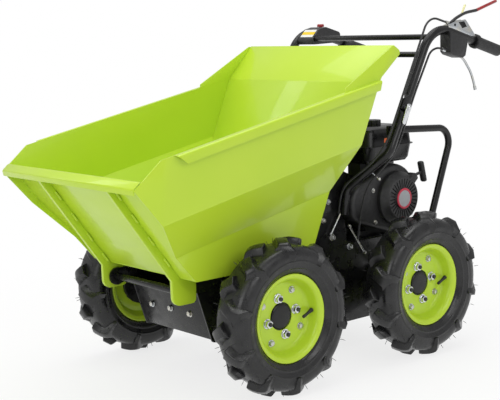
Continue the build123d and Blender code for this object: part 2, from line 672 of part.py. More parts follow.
handles = {}
for side, sign in SIDES:
    out = Vector(0, sign * HANDLE_Y, 0)
    with BuildPart() as upper:
        add(tube((HANDLE_END + out, HANDLE_CORNER + out, flat_top + out), TUBE_R, HANDLE_BEND))
        add(flat_end(flat_top + out, -upright_dir, sign, 1))
    handles[side] = upper.part
    finish(upper.part, f"handle_upper_{side}")

    joint_turn = HANDLE_JOINT - upright_dir * LOWER_RUN + out
    with BuildPart() as lower:
        add(tube((HANDLE_JOINT + out, joint_turn, (TOWER_KNEE[0], sign * lower_y, TOWER_KNEE[1]),
                  (TOWER_KNEE[0] + 10, sign * lower_y, TOWER_KNEE[1] - 70)), TUBE_R, 45.0))
        add(flat_end(HANDLE_JOINT + out, upright_dir, sign, -1))
        with BuildSketch(Plane.XZ.offset(-sign * HANDLE_Y)):      # boss that carries the engine guard
            with Locations((-232.0, HOOP_FRONT[1] - 0.5)):
                Circle(9)
        extrude(amount=sign * (HANDLE_Y - HOOP_Y - FLAT_T / 2))
    finish(lower.part, f"handle_lower_{side}")

    hoop_y = sign * HOOP_Y
    with BuildPart() as hoop:
        add(tube(((HOOP_FRONT[0], hoop_y, HOOP_FRONT[1]), (HOOP_CORNER[0], hoop_y, HOOP_CORNER[1]),
                  (HOOP_FOOT_X - 2.5, hoop_y, deck_top + 10)), HOOP_R, HOOP_BEND))
        with BuildSketch(Plane.YZ.offset(HOOP_FRONT[0])):
            with Locations((hoop_y, HOOP_FRONT[1])):
                RectangleRounded(FLAT_T, 26, 1)
        extrude(amount=42)
        with BuildSketch(Plane.XY.offset(deck_top)):
            with Locations((HOOP_FOOT_X - 0.5, hoop_y)):
                Rectangle(26, 26)
        extrude(amount=5)
        with BuildSketch(Plane.XY.offset(deck_top)):
            with Locations((HOOP_FOOT_X - 3.5, hoop_y)):
                Circle(HOOP_R)
        extrude(amount=12)
    finish(hoop.part, f"engine_guard_{side}")

    with BuildPart() as grip:
        with BuildSketch(Plane(origin=HANDLE_END + out - grip_dir * GRIP_CAP, z_dir=grip_dir)):
            Circle(GRIP_R)
        extrude(amount=GRIP_LEN)
        with BuildSketch(Plane(origin=HANDLE_END + out + grip_dir * (GRIP_LEN - GRIP_CAP - 8), z_dir=grip_dir)):
            Circle(COLLAR_R)
        extrude(amount=12)
        with BuildSketch(Plane(origin=HANDLE_END + out, z_dir=grip_dir)):
            Circle(TUBE_R)
        extrude(amount=GRIP_LEN + 12, mode=Mode.SUBTRACT)
    finish(grip.part, f"grip_{side}")

# crossbars, coped to the handle tubes they are welded to
crossbars = {}
for name, along, back in CROSSBARS:
    centre = HANDLE_JOINT + upright_dir * along
    crossbars[name] = [Vector(centre.X - back, sign * HANDLE_Y, centre.Z) for _, sign in SIDES]
    finish(tube(crossbars[name], BAR_R, None, cut_by=handles.values()), f"crossbar_{name}")

# ---- controls ----------------------------------------------------------------------------
LEVER_R = 4.5
left = HANDLE_Y
bracket_half = 10.0
with BuildPart() as bracket:
    add(outline_plate((
        (-440.0, 918.0), (-470.0, 927.0), (-515.0, 932.0), (-560.0, 884.0), (-560.0, 872.0), (-440.0, 902.0),
    ), left - bracket_half, left + bracket_half, rounded=((2, 6.0),)))
    add(outline_plate((
        (-430.0, 921.0), (-480.0, 935.0), (-525.0, 940.0), (-548.0, 894.0), (-450.0, 920.0),
    ), left - bracket_half + 2.5, left + bracket_half - 2.5), mode=Mode.SUBTRACT)
    add(handles["left"], mode=Mode.SUBTRACT)
finish(bracket.part, "lever_bracket")

lever_end = Vector(-666.0, left, 983.0)
lever_run = [(-457.0, left, 922.0), (-484.0, left, 936.5), (-524.0, left, 951.0), (-574.0, left, 957.0)]
sleeve_start = Vector(lever_run[-1]) + (lever_end - Vector(lever_run[-1])) * 0.02
lever_run.append(tuple(sleeve_start))
finish(tube(lever_run, LEVER_R, free_bends(lever_run)), "hand_lever")
finish(tube((sleeve_start, lever_end), LEVER_R, None), "lever_sleeve")

with BuildPart() as box:
    add(outline_plate((
        (-437.0, 899.0), (-437.0, 842.0), (-447.0, 834.0), (-490.0, 823.0), (-503.0, 829.0), (-512.0, 862.0),
        (-512.0, 878.0),
    ), left - 19.0, left + 19.0, rounded=((1, 4.0), (3, 6.0), (4, 6.0))))
    add(handles["left"], mode=Mode.SUBTRACT)
    add(bracket.part, mode=Mode.SUBTRACT)
finish(box.part, "throttle_box")

brake_points = ((-496.0, left, 832.0), (-520.0, left, 815.0), (-549.0, left, 780.0), (-562.0, left, 752.0),
                (-569.0, left, 730.0))
finish(tube(brake_points, 3.5, free_bends(brake_points), cut_by=[box.part]), "park_lever")

console_y = -HANDLE_Y + TUBE_R + 2.0
console = outline_plate((
    (-358.0, 868.0), (-352.0, 884.0), (-382.0, 914.0), (-412.0, 921.0), (-475.0, 903.0), (-475.0, 872.0),
), console_y, console_y + 66.0, rounded=((0, 5.0), (1, 14.0), (3, 14.0), (4, 12.0), (5, 5.0)))
with BuildPart() as console_body:
    add(console)
    with BuildSketch(Plane.XZ.offset(HANDLE_Y)):                  # clamp foot on the right handle
        with Locations((-440.0, 890.0)):
            Rectangle(34, 14)
    extrude(amount=-(console_y + HANDLE_Y))
    for handle in handles.values():
        add(handle, mode=Mode.SUBTRACT)
    add(tube(crossbars["upper"], BAR_R, None), mode=Mode.SUBTRACT)
finish(console_body.part, "console")
with BuildPart() as knob:
    with BuildSketch(Plane.XY.offset(915.0)):
        with Locations((-424.0, console_y + 30)):
            Circle(5)
    extrude(amount=8)
    with BuildSketch(Plane.XY.offset(921.0)):
        with Locations((-424.0, console_y + 30)):
            Circle(11)
    extrude(amount=9)
    fillet(knob.faces().sort_by(Axis.Z)[-1].edges(), radius=4)
    add(console, mode=Mode.SUBTRACT)
finish(knob.part, "console_knob")
shift_points = ((-470.0, console_y + 46.0, 885.0), (-500.0, console_y + 46.0, 884.0), (-545.0, console_y + 46.0, 876.0))
finish(tube(shift_points, 7.0, free_bends(shift_points), cut_by=[console]), "shift_lever")

# control cables, strapped to the left handle and let down to the tower and the deck
front_of = Vector(upright_dir.Z, 0, -upright_dir.X)
cable_off = front_of * (FLAT_W / 2 + CABLE_R + 0.6)            # clear of the flattened joint
clutch_route = (
    (-450.0, left, 923.0),
    (HANDLE_CORNER.X + 14.0, left, HANDLE_CORNER.Z + 23.0),
    (-176.0, left, 574.0),
    (-119.0, lower_y + 3.0, 478.0),
    (-110.0, lower_y - 3.0, 405.0),
)
throttle_route = (
    (-436.0, left, 846.0),
    (-404.0, left, 856.0),
    (-372.0, left, 846.0),
    (HANDLE_JOINT.X - 34.0 - cable_off.X, left, HANDLE_JOINT.Z + 65.4 - cable_off.Z),
    (-226.0, left, 570.0),
    (-176.0, 205.0, 480.0),
    (-166.0, 188.0, 400.0),
    (-172.0, 170.0, 326.0),
)
for name, route in (("cable_clutch", clutch_route), ("cable_throttle", throttle_route)):
    bends = free_bends(route)
    finish(tube(route, CABLE_R, bends), name)
    print(name, "bend radii", [round(bend) for bend in bends])

# ---- wheels ------------------------------------------------------------------------------
# tyre as a many-sided ring: its flats and its lugs share one pitch
TYRE_SIDES = 4 * LUGS_PER_SIDE
flat_factor = 1 / cos(radians(180 / TYRE_SIDES))
carcass_r = TYRE_R - LUG_DEPTH
SIDEWALL_R = 150.0


def ring_loft(rows):
    """Ruled solid through many-sided outlines at (y, radius) stations."""
    with BuildPart() as ring:
        for y, radius in rows:
            with BuildSketch(Plane.XZ.offset(-y)):
                RegularPolygon(radius * flat_factor, TYRE_SIDES)
        loft(ruled=True)
    return ring.part


def mirrored(rows):
    return rows + tuple((-y, radius) for y, radius in reversed(rows) if y)


LIP_Y = RIM_HALF_W - 4.5       # foot of the rim's lip, where the bead ends
side_y = TYRE_HALF_W - 3.0
# one lug, standing at the foot of the tyre
sweep_angle = radians(LUG_SWEEP)
stretch = 1 / cos(sweep_angle)
lug_side = Plane(origin=(0, 0, 0), x_dir=(sin(sweep_angle), cos(sweep_angle), 0),
                 z_dir=(cos(sweep_angle), -sin(sweep_angle), 0))
with BuildPart() as lug:
    with BuildSketch(lug_side):
        with BuildLine():
            Polyline(
                (-4.0 * stretch, carcass_r - 9), (-4.0 * stretch, TYRE_R), (8.0 * stretch, TYRE_R),
                (20.0 * stretch, TYRE_R - 1.5), (38.0 * stretch, TYRE_R - 9),
                (TYRE_HALF_W - 6, TYRE_R - 24), (TYRE_HALF_W - 3, SIDEWALL_R + 3),
                (TYRE_HALF_W - 12, SIDEWALL_R), (30.0 * stretch, carcass_r - 22), close=True)
        make_face()
    extrude(amount=LUG_W / 2, both=True)

with BuildPart() as tyre:
    add(ring_loft(mirrored((
        (-side_y, SIDEWALL_R + 6), (-side_y + 5, carcass_r - 14), (-26.0, carcass_r - 2), (0.0, carcass_r)))))
    add(ring_loft(((-TYRE_HALF_W, BEAD_R + 0.2), (TYRE_HALF_W, BEAD_R + 0.2))), mode=Mode.SUBTRACT)
    add([ring_loft(((sign * (LIP_Y - 0.2), BEAD_R), (sign * (LIP_Y + 1.3), RIM_FLANGE_R + 0.3),
                    (sign * (RIM_HALF_W + 0.2), RIM_FLANGE_R + 1.5),
                    (sign * (side_y + 0.01), SIDEWALL_R - 14))) for _, sign in SIDES], mode=Mode.SUBTRACT)
    turn = 360.0 / LUGS_PER_SIDE
    add([lug.part.rotate(Axis.Y, 180 + i * turn) for i in range(LUGS_PER_SIDE)]
        + [mirror(lug.part, about=Plane.XZ).rotate(Axis.Y, 180 + (i + 0.5) * turn) for i in range(LUGS_PER_SIDE)])

DISC_Y = -16.0                 # outer face of the rim's disc
with BuildPart() as rim:
    with BuildSketch(Plane.YZ) as rim_section:
        with BuildLine():
            Polyline(
                (LIP_Y + 1.5, RIM_FLANGE_R), (RIM_HALF_W, RIM_FLANGE_R), (RIM_HALF_W, RIM_FLANGE_R - 4),
                (LIP_Y + 2, BEAD_R - 1), (LIP_Y - 4, BEAD_R - 4), (4, BEAD_R - 9), (DISC_Y + 4, BEAD_R - 13),
                (DISC_Y, BEAD_R - 22), (DISC_Y, HUB_CAP_R + 7), (DISC_Y - 4, HUB_CAP_R + 7),
                (DISC_Y - 4, BEAD_R - 14), (4 - LIP_Y, BEAD_R - 4), (-LIP_Y - 2, BEAD_R - 1),
                (-RIM_HALF_W, RIM_FLANGE_R - 4), (-RIM_HALF_W, RIM_FLANGE_R), (-LIP_Y - 1.5, RIM_FLANGE_R),
                (-LIP_Y, BEAD_R), (LIP_Y, BEAD_R),
                close=True)
        make_face()
    revolve(axis=Axis.Y)

with BuildPart() as hub:
    with BuildSketch(Plane.YZ) as hub_section:
        with BuildLine():
            Polyline(
                (DISC_Y + 13, 0), (DISC_Y + 13, HUB_CAP_R - 4), (DISC_Y + 10, HUB_CAP_R), (DISC_Y - 4, HUB_CAP_R),
                (DISC_Y - 4, STUD_CIRCLE_R + 14), (DISC_Y - 12, STUD_CIRCLE_R + 14), (DISC_Y - 12, 30),
                (DISC_Y - 36, 30), (DISC_Y - 36, AXLE_SHAFT_R), (DISC_Y - 114, AXLE_SHAFT_R),
                (DISC_Y - 114, 0), close=True)
        make_face()
    revolve(axis=Axis.Y)

for axle, x in axle_x.items():
    for side, sign in SIDES:
        place = Location((x, sign * WHEEL_Y, AXLE_Z))
        for name, piece in (("tyre", tyre.part), ("rim", rim.part), ("hub", hub.part)):
            finish(side_of(piece, sign).moved(place), f"{name}_{axle}_{side}")
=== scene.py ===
"""Site dumper add-on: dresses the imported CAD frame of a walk-behind skip dumper.

Each operator adds one piece, or one group of like pieces, where the frame says it goes. Lengths in
the tables are millimetres in the machine's frame: +X forward, +Y the machine's left, +Z up.
"""

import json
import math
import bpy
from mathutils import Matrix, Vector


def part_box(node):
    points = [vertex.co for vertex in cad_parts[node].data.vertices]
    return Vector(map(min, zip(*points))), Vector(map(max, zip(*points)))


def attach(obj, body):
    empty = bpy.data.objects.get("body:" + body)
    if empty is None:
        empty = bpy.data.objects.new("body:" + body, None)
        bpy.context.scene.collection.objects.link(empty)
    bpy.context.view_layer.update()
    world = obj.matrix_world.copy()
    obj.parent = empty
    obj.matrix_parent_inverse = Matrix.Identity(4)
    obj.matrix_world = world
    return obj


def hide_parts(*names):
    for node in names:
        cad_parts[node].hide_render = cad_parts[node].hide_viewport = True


bl_info = {
    "name": "Site dumper",
    "version": (1, 0, 0),
    "blender": (4, 5, 0),
    "location": "View3D > Sidebar > Dumper",
    "description": "Dresses the CAD frame of a walk-behind site dumper with its finished pieces",
    "category": "Add Mesh",
}

import bpy
from bpy.props import FloatProperty, FloatVectorProperty, IntProperty, PointerProperty
from mathutils import Matrix, Vector
from mathutils.bvhtree import BVHTree

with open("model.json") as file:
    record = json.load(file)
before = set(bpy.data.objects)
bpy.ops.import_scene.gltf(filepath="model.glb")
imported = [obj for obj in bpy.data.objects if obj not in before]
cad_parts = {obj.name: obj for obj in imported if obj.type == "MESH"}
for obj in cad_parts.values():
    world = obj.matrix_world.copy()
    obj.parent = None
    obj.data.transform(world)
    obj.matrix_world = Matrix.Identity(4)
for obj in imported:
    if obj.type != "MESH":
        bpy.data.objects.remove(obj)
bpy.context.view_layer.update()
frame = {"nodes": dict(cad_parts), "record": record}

MM = 0.001
RECORD = frame["record"]
BODY_OF = {node: body for body, nodes in RECORD["behaviour"]["bodies"].items() for node in nodes}
SLOT_OF = {part["node"]: part["material_slot"] for part in RECORD["subparts"]}
SIDES = (("left", 1), ("right", -1))
WHEELS = [(f"{axle}_{side}", sign) for axle in ("front", "rear") for side, sign in SIDES]
AXIS_X = Vector((1, 0, 0))
AXIS_Y = Vector((0, 1, 0))
HANDLE_Y = 270.0               # the handle tubes' distance from the middle


# ---- colours and materials ---------------------------------------------------------------
NOISE_LOW = 0.35               # nearly all of a noise texture lies between these
NOISE_HIGH = 0.65


def linear(code):
    """Linear red, green and blue of an sRGB hex colour."""
    shares = [int(code[i:i + 2], 16) / 255 for i in (1, 3, 5)]
    return tuple(c / 12.92 if c <= 0.04045 else ((c + 0.055) / 1.055) ** 2.4 for c in shares)


def add_node(tree, kind, inputs=None, **settings):
    """Adds a shader node; an input is a value, or another node's output socket to link."""
    made = tree.nodes.new("ShaderNode" + kind)
    for name, value in settings.items():
        setattr(made, name, value)
    for name, value in (inputs or {}).items():
        if isinstance(value, bpy.types.NodeSocket):
            tree.links.new(value, made.inputs[name])
        else:
            made.inputs[name].default_value = value
    return made


def new_material(name, roughness, metallic=0.0, specular=0.5, coat=0.0, coat_roughness=0.05):
    """A material with the shader's own constants set."""
    made = bpy.data.materials.new(name)
    made.use_nodes = True
    shader = made.node_tree.nodes["Principled BSDF"]
    shader.inputs["Roughness"].default_value = roughness
    shader.inputs["Metallic"].default_value = metallic
    shader.inputs["Specular IOR Level"].default_value = specular
    shader.inputs["Coat Weight"].default_value = coat
    shader.inputs["Coat Roughness"].default_value = coat_roughness
    return made


def mottle(made, first, second, grain_mm, detail=3.0, rough=0.5, most=1.0):
    """Lets the colour drift from the first to the second, in blotches about grain_mm across."""
    tree = made.node_tree
    place = add_node(tree, "TexCoord").outputs["Object"]
    blotches = add_node(tree, "TexNoise", {"Vector": place, "Scale": 1 / (grain_mm * MM), "Detail": detail,
                                           "Roughness": rough})
    share = add_node(tree, "MapRange", {"Value": blotches.outputs["Fac"], "From Min": NOISE_LOW,
                                        "From Max": NOISE_HIGH, "To Max": most})
    # a Mix node's colour sockets share their names with its other kinds, so they go by number
    mixed = add_node(tree, "Mix", {"Factor": share.outputs["Result"], 6: (*first, 1), 7: (*second, 1)},
                     data_type="RGBA")
    tree.links.new(mixed.outputs[2], tree.nodes["Principled BSDF"].inputs["Base Color"])


def polish(made, low, high, grain_mm, detail=3.0):
    """Lets the roughness drift from low to high, in blotches about grain_mm across."""
    tree = made.node_tree
    place = add_node(tree, "TexCoord").outputs["Object"]
    blotches = add_node(tree, "TexNoise", {"Vector": place, "Scale": 1 / (grain_mm * MM), "Detail": detail})
    drift = add_node(tree, "MapRange", {"Value": blotches.outputs["Fac"], "From Min": NOISE_LOW,
                                        "From Max": NOISE_HIGH, "To Min": low, "To Max": high})
    tree.links.new(drift.outputs["Result"], tree.nodes["Principled BSDF"].inputs["Roughness"])


def relief(made, grain_mm, depth_mm, detail=3.0, rough=0.5):
    """Raises bumps about grain_mm across and depth_mm high, over any that are there already."""
    tree = made.node_tree
    normal = tree.nodes["Principled BSDF"].inputs["Normal"]
    below = {"Normal": normal.links[0].from_socket} if normal.is_linked else {}
    place = add_node(tree, "TexCoord").outputs["Object"]
    skin = add_node(tree, "TexNoise", {"Vector": place, "Scale": 1 / (grain_mm * MM), "Detail": detail,
                                       "Roughness": rough})
    bumps = add_node(tree, "Bump", {"Height": skin.outputs["Fac"], "Distance": depth_mm * MM,
                                    "Strength": 1.0, **below})
    tree.links.new(bumps.outputs["Normal"], normal)


def green_enamel():
    """Alkyd enamel, sprayed on folded mild steel: glossy, a little uneven in film and sheet."""
    made = new_material("green_enamel", 0.32, specular=0.35, coat=0.3)
    green = bpy.context.scene.dumper_finish.green
    deep = tuple(c * k for c, k in zip(green, (0.94, 0.97, 0.86)))
    mottle(made, green, deep, 120.0, detail=1.0, most=0.5)
    polish(made, 0.28, 0.36, 60.0, detail=1.0)
    relief(made, 220.0, 1.4, detail=1.0)       # waves in the sheet, 220 mm apart
    relief(made, 3.0, 0.02, detail=1.0)        # orange peel, drawn 3 mm wide so that it shows
    return made


def black_enamel():
    """Black enamel on pressed steel: deep gloss with fine orange peel, drawn 2.5 mm wide."""
    made = new_material("black_enamel", 0.28, specular=0.3, coat=0.2, coat_roughness=0.08)
    shader = made.node_tree.nodes["Principled BSDF"]
    shader.inputs["Base Color"].default_value = (*bpy.context.scene.dumper_finish.black, 1)
    polish(made, 0.22, 0.40, 25.0)
    relief(made, 2.5, 0.06, detail=1.0)
    return made


def moulded_nylon():
    """Glass-filled nylon, injection moulded: satin with a spark-eroded grain, drawn 0.9 mm wide."""
    made = new_material("moulded_nylon", 0.45)
    mottle(made, linear("#232324"), linear("#2B2B2C"), 12.0)
    polish(made, 0.38, 0.55, 8.0)
    relief(made, 0.9, 0.08, detail=2.0)
    return made


def cast_aluminium():
    """Die-cast aluminium under thin black paint: a sandy skin, thinner on its high spots."""
    made = new_material("cast_aluminium", 0.5, metallic=0.3)
    mottle(made, linear("#242424"), linear("#3A3B3C"), 1.6, detail=4.0, rough=0.6)
    relief(made, 1.6, 0.25, detail=4.0, rough=0.6)
    return made


def cured_rubber():
    """Carbon-black rubber, mould-cured: satin where the mould was bright, with a dull bloom in patches."""
    made = new_material("cured_rubber", 0.4)
    rubber = bpy.context.scene.dumper_finish.rubber
    mottle(made, rubber, tuple(c * 1.7 for c in rubber), 26.0, detail=4.0, rough=0.6)
    polish(made, 0.16, 0.46, 40.0)
    relief(made, 9.0, 0.4, detail=2.0)         # flow marks of the mould
    relief(made, 1.1, 0.06, detail=2.0)        # its blasted skin
    return made


def dipped_rubber():
    """Soft rubber, dipped and moulded: matt, faintly dusty."""
    made = new_material("dipped_rubber", 0.62)
    mottle(made, linear("#1C1C1D"), linear("#2A2A2B"), 6.0)
    relief(made, 0.8, 0.06, detail=2.0)
    return made


def zinc_plate():
    """Steel, bright zinc electroplate: pale grey metal with a soft blue and straw passivate."""
    made = new_material("zinc_plate", 0.32, metallic=1.0)
    mottle(made, linear("#C4C8CC"), linear("#CFCCC2"), 24.0, detail=1.0)
    polish(made, 0.24, 0.36, 9.0)
    relief(made, 2.0, 0.008, detail=1.0)
    return made


def chrome_plate():
    """Nickel-chrome plate on turned steel: mirror bright, with faint machining marks."""
    made = new_material("chrome_plate", 0.14, metallic=1.0)
    shader = made.node_tree.nodes["Principled BSDF"]
    shader.inputs["Base Color"].default_value = (*linear("#D8DADC"), 1)
    polish(made, 0.10, 0.22, 2.0)
    return made


def red_vinyl():
    """Plasticised PVC, dipped: a thick glossy red skin with slight sags."""
    made = new_material("red_vinyl", 0.3, coat=0.3)
    mottle(made, linear("#A3161B"), linear("#8C1216"), 9.0, detail=2.0)
    relief(made, 9.0, 0.2, detail=2.0)
    return made


def vinyl_film(name, code):
    """A blank self-adhesive vinyl patch: one printed colour, satin, a little uneven in its ink."""
    made = new_material(name, 0.35)
    colour = linear(code)
    mottle(made, colour, tuple(c * 0.85 for c in colour), 10.0, most=0.4)
    relief(made, 3.0, 0.02)
    return made


RECIPES = {
    "green_enamel": green_enamel,
    "black_enamel": black_enamel,
    "moulded_nylon": moulded_nylon,
    "cast_aluminium": cast_aluminium,
    "cured_rubber": cured_rubber,
    "dipped_rubber": dipped_rubber,
    "zinc_plate": zinc_plate,
    "chrome_plate": chrome_plate,
    "red_vinyl": red_vinyl,
}
FILM_COLOURS = {
    "white_film": "#E9E9E4",
    "yellow_film": "#F0CE1B",
    "orange_film": "#E8641B",
    "rose_film": "#C8324A",
    "silver_film": "#A9ACAF",
    "ivory_film": "#EFEBB0",
}
SLOT_FINISH = {               # record slot -> finish
    "green_paint": "green_enamel",
    "black_paint": "black_enamel",
    "black_plastic": "moulded_nylon",
    "engine_metal": "cast_aluminium",
    "tyre_rubber": "cured_rubber",
    "grip_rubber": "dipped_rubber",
    "zinc": "zinc_plate",
    "red_plastic": "red_vinyl",
}


def finish_of(name):
    """The material of that name, made at its first use."""
    made = bpy.data.materials.get(name)
    if made is None and name in FILM_COLOURS:
        made = vinyl_film(name, FILM_COLOURS[name])
    return made or RECIPES[name]()


# ---- modelling helpers -------------------------------------------------------------------
LOOSE_GAP = 0.02               # corners of the frame's loose triangles nearer than this are one
FLAT_ANGLE = 0.6               # triangles that meet at less than this are one flat face
WELD_RIPPLE = 3.0


def only(obj):
    """Selects one object alone and makes it active."""
    bpy.ops.object.select_all(action="DESELECT")
    obj.select_set(True)
    bpy.context.view_layer.objects.active = obj
    return obj


def draw_line(points):
    """Draws joined edges through the points, in millimetres, and leaves the object in edit mode."""
    bpy.ops.object.select_all(action="DESELECT")
    bpy.ops.mesh.primitive_plane_add(size=MM, location=(0, 0, 0))
    obj = bpy.context.object
    bpy.ops.object.mode_set(mode="EDIT")
    bpy.ops.mesh.select_all(action="SELECT")
    bpy.ops.mesh.merge(type="CENTER")
    bpy.ops.transform.translate(value=Vector(points[0]) * MM)
    for before, after in zip(points, points[1:]):
        step = (Vector(after) - Vector(before)) * MM
        bpy.ops.mesh.extrude_region_move(TRANSFORM_OT_translate={"value": step})
    return obj


def close_up(obj):
    """Merges doubles and turns the faces outward, from edit mode back to object mode."""
    bpy.ops.mesh.select_all(action="SELECT")
    bpy.ops.mesh.remove_doubles(threshold=0.01 * MM)
    bpy.ops.mesh.normals_make_consistent(inside=False)
    bpy.ops.object.mode_set(mode="OBJECT")
    return obj


def turned(rows, steps=64):
    """A piece turned on an axle line along Y, from rows of (offset along the axle, radius)."""
    obj = draw_line([(0, offset, radius) for offset, radius in rows])
    bpy.ops.mesh.select_all(action="SELECT")
    bpy.ops.mesh.spin(steps=steps, angle=2 * math.pi, center=(0, 0, 0), axis=AXIS_Y)
    return close_up(obj)


def cut_plate(outline, thickness):
    """A flat piece: an X-Z outline, filled and extruded to both sides of Y = 0."""
    obj = draw_line([(x, -thickness / 2, z) for x, z in outline])
    bpy.ops.mesh.select_all(action="SELECT")
    bpy.ops.mesh.edge_face_add()
    bpy.ops.mesh.extrude_region_move(TRANSFORM_OT_translate={"value": (0, thickness * MM, 0)})
    return close_up(obj)


def smooth(obj, angle=35.0):
    """Shades a piece smooth up to an edge angle."""
    only(obj)
    bpy.ops.object.shade_smooth_by_angle(angle=math.radians(angle))
    return obj


def round_edges(obj, width, segments=2, angle=35.0):
    """Bevels the sharp edges and shades the rest smooth."""
    only(obj)
    edge = obj.modifiers.new("edge", "BEVEL")
    edge.width = width * MM
    edge.segments = segments
    edge.limit_method = "ANGLE"
    edge.angle_limit = math.radians(angle)
    edge.use_clamp_overlap = True
    bpy.ops.object.modifier_apply(modifier=edge.name)
    return smooth(obj, angle)


def settle(obj, name, finish, body, replaces=()):
    """Names a finished piece, paints it, and lets it ride on its body."""
    obj.name = name
    obj.data.name = name
    obj.data.materials.clear()
    obj.data.materials.append(finish_of(finish))
    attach(obj, body)
    if replaces:
        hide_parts(*replaces)
    return obj


def copied(obj, matrix):
    """A copy with its own mesh, moved by the matrix; a mirror image keeps its faces outward."""
    made = bpy.data.objects.new(obj.name, obj.data.copy())
    bpy.context.scene.collection.objects.link(made)
    made.data.transform(matrix)
    if matrix.determinant() < 0:
        made.data.flip_normals()
    return made


def joined(pieces):
    """Several meshes as one object."""
    bpy.ops.object.select_all(action="DESELECT")
    for piece in pieces:
        piece.select_set(True)
    bpy.context.view_layer.objects.active = pieces[0]
    bpy.ops.object.join()
    return bpy.context.object


def discard(obj):
    """Removes a pattern piece once its copies are made."""
    mesh = obj.data
    bpy.data.objects.remove(obj)
    bpy.data.meshes.remove(mesh)


def facing(point, direction):
    """Matrix that stands a piece turned about Y at a point in millimetres, its +Y along direction."""
    turn = AXIS_Y.rotation_difference(Vector(direction))
    return Matrix.Translation(Vector(point) * MM) @ turn.to_matrix().to_4x4()


def moved(obj, y):
    """Shifts a piece sideways, by millimetres along Y."""
    obj.data.transform(Matrix.Translation((0, y * MM, 0)))
    return obj


def seat(node, point, outward):
    """Where a line from outside, through the point, first meets a CAD node, in millimetres."""
    mesh = frame["nodes"][node].data
    skin = BVHTree.FromPolygons([v.co for v in mesh.vertices], [p.vertices for p in mesh.polygons])
    place = skin.ray_cast(Vector(point) * MM + Vector(outward), -Vector(outward))[0]
    if place is None:
        raise RuntimeError(f"{node} has no face at {point}")
    return place / MM


def rod(start, end, radius, steps=16):
    """A straight round rod between two points."""
    run = Vector(end) - Vector(start)
    bar = smooth(turned([(0, 0), (0, radius), (run.length, radius), (run.length, 0)], steps))
    bar.data.transform(facing(start, run))
    return bar


def weld_bead(start, end, radius):
    """A rippled weld bead between two points, half sunk in its corner."""
    run = Vector(end) - Vector(start)
    pitch = run.length / max(3, round(run.length / WELD_RIPPLE))
    rows = [(0.0, 0.0), (0.15 * pitch, 0.6 * radius)]
    along = 0.5 * pitch
    while along < run.length:
        rows += [(along, radius), (along + 0.35 * pitch, 0.84 * radius)]
        along += pitch
    rows[-1:] = [(run.length - 0.15 * pitch, 0.6 * radius), (run.length, 0.0)]
    bead = smooth(turned(rows, 10), 70)
    bead.data.transform(facing(start, run))
    return bead


def dressed(node, edge, finish=None):
    """The CAD node's own form with worked edges, in its slot's finish unless another is named."""
    obj = bpy.data.objects.new(node, frame["nodes"][node].data.copy())
    bpy.context.scene.collection.objects.link(obj)
    only(obj)
    bpy.ops.object.mode_set(mode="EDIT")
    bpy.ops.mesh.select_all(action="SELECT")
    bpy.ops.mesh.remove_doubles(threshold=LOOSE_GAP * MM)
    bpy.ops.mesh.dissolve_limited(angle_limit=math.radians(FLAT_ANGLE))
    bpy.ops.mesh.customdata_custom_splitnormals_clear()
    bpy.ops.object.mode_set(mode="OBJECT")
    round_edges(obj, edge, angle=30.0)
    slot = SLOT_OF[node]
    return settle(obj, f"{node}_skin", finish or SLOT_FINISH[slot], BODY_OF[node], (node,))


def wheel_matrix(wheel, sign):
    """Places a left-hand wheel piece, made round the origin, at one of the four wheels."""
    low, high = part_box(f"rim_{wheel}")
    return Matrix.Translation((low + high) / 2) @ Matrix.Scale(sign, 4, AXIS_Y)


# ---- settings ----------------------------------------------------------------------------
class DumperFinish(bpy.types.PropertyGroup):
    """Colours of the painted and rubber pieces."""
    green: FloatVectorProperty(name="Green", description="Enamel of the skip and the rims",
                               subtype="COLOR", size=3, min=0, max=1, default=linear("#BDDA34"))
    black: FloatVectorProperty(name="Black", description="Enamel of the chassis and the handles",
                               subtype="COLOR", size=3, min=0, max=1, default=linear("#131314"))
    rubber: FloatVectorProperty(name="Rubber", description="Tyre rubber",
                                subtype="COLOR", size=3, min=0, max=1, default=linear("#151516"))


class DumperSizes(bpy.types.PropertyGroup):
    """Sizes that may change without leaving the CAD form."""
    sheet_edge: FloatProperty(name="Sheet edge", description="Rounding of the skip's sheet edges",
                              unit="LENGTH", min=0.0002, max=0.0014, default=0.9 * MM)
    cast_edge: FloatProperty(name="Cast edge", description="Rounding of cast and moulded edges",
                             unit="LENGTH", min=0.0002, max=0.004, default=1.6 * MM)
    lug_edge: FloatProperty(name="Lug edge", description="Rounding of the tyre lugs",
                            unit="LENGTH", min=0.0005, max=0.005, default=3.0 * MM)
    weld_bead: FloatProperty(name="Weld bead", description="Half width of a weld bead",
                             unit="LENGTH", min=0.001, max=0.006, default=3.6 * MM)
    lugs_per_side: IntProperty(name="Lugs per side", description="Tyre lugs on each side of the tread",
                               min=6, max=14, default=10)


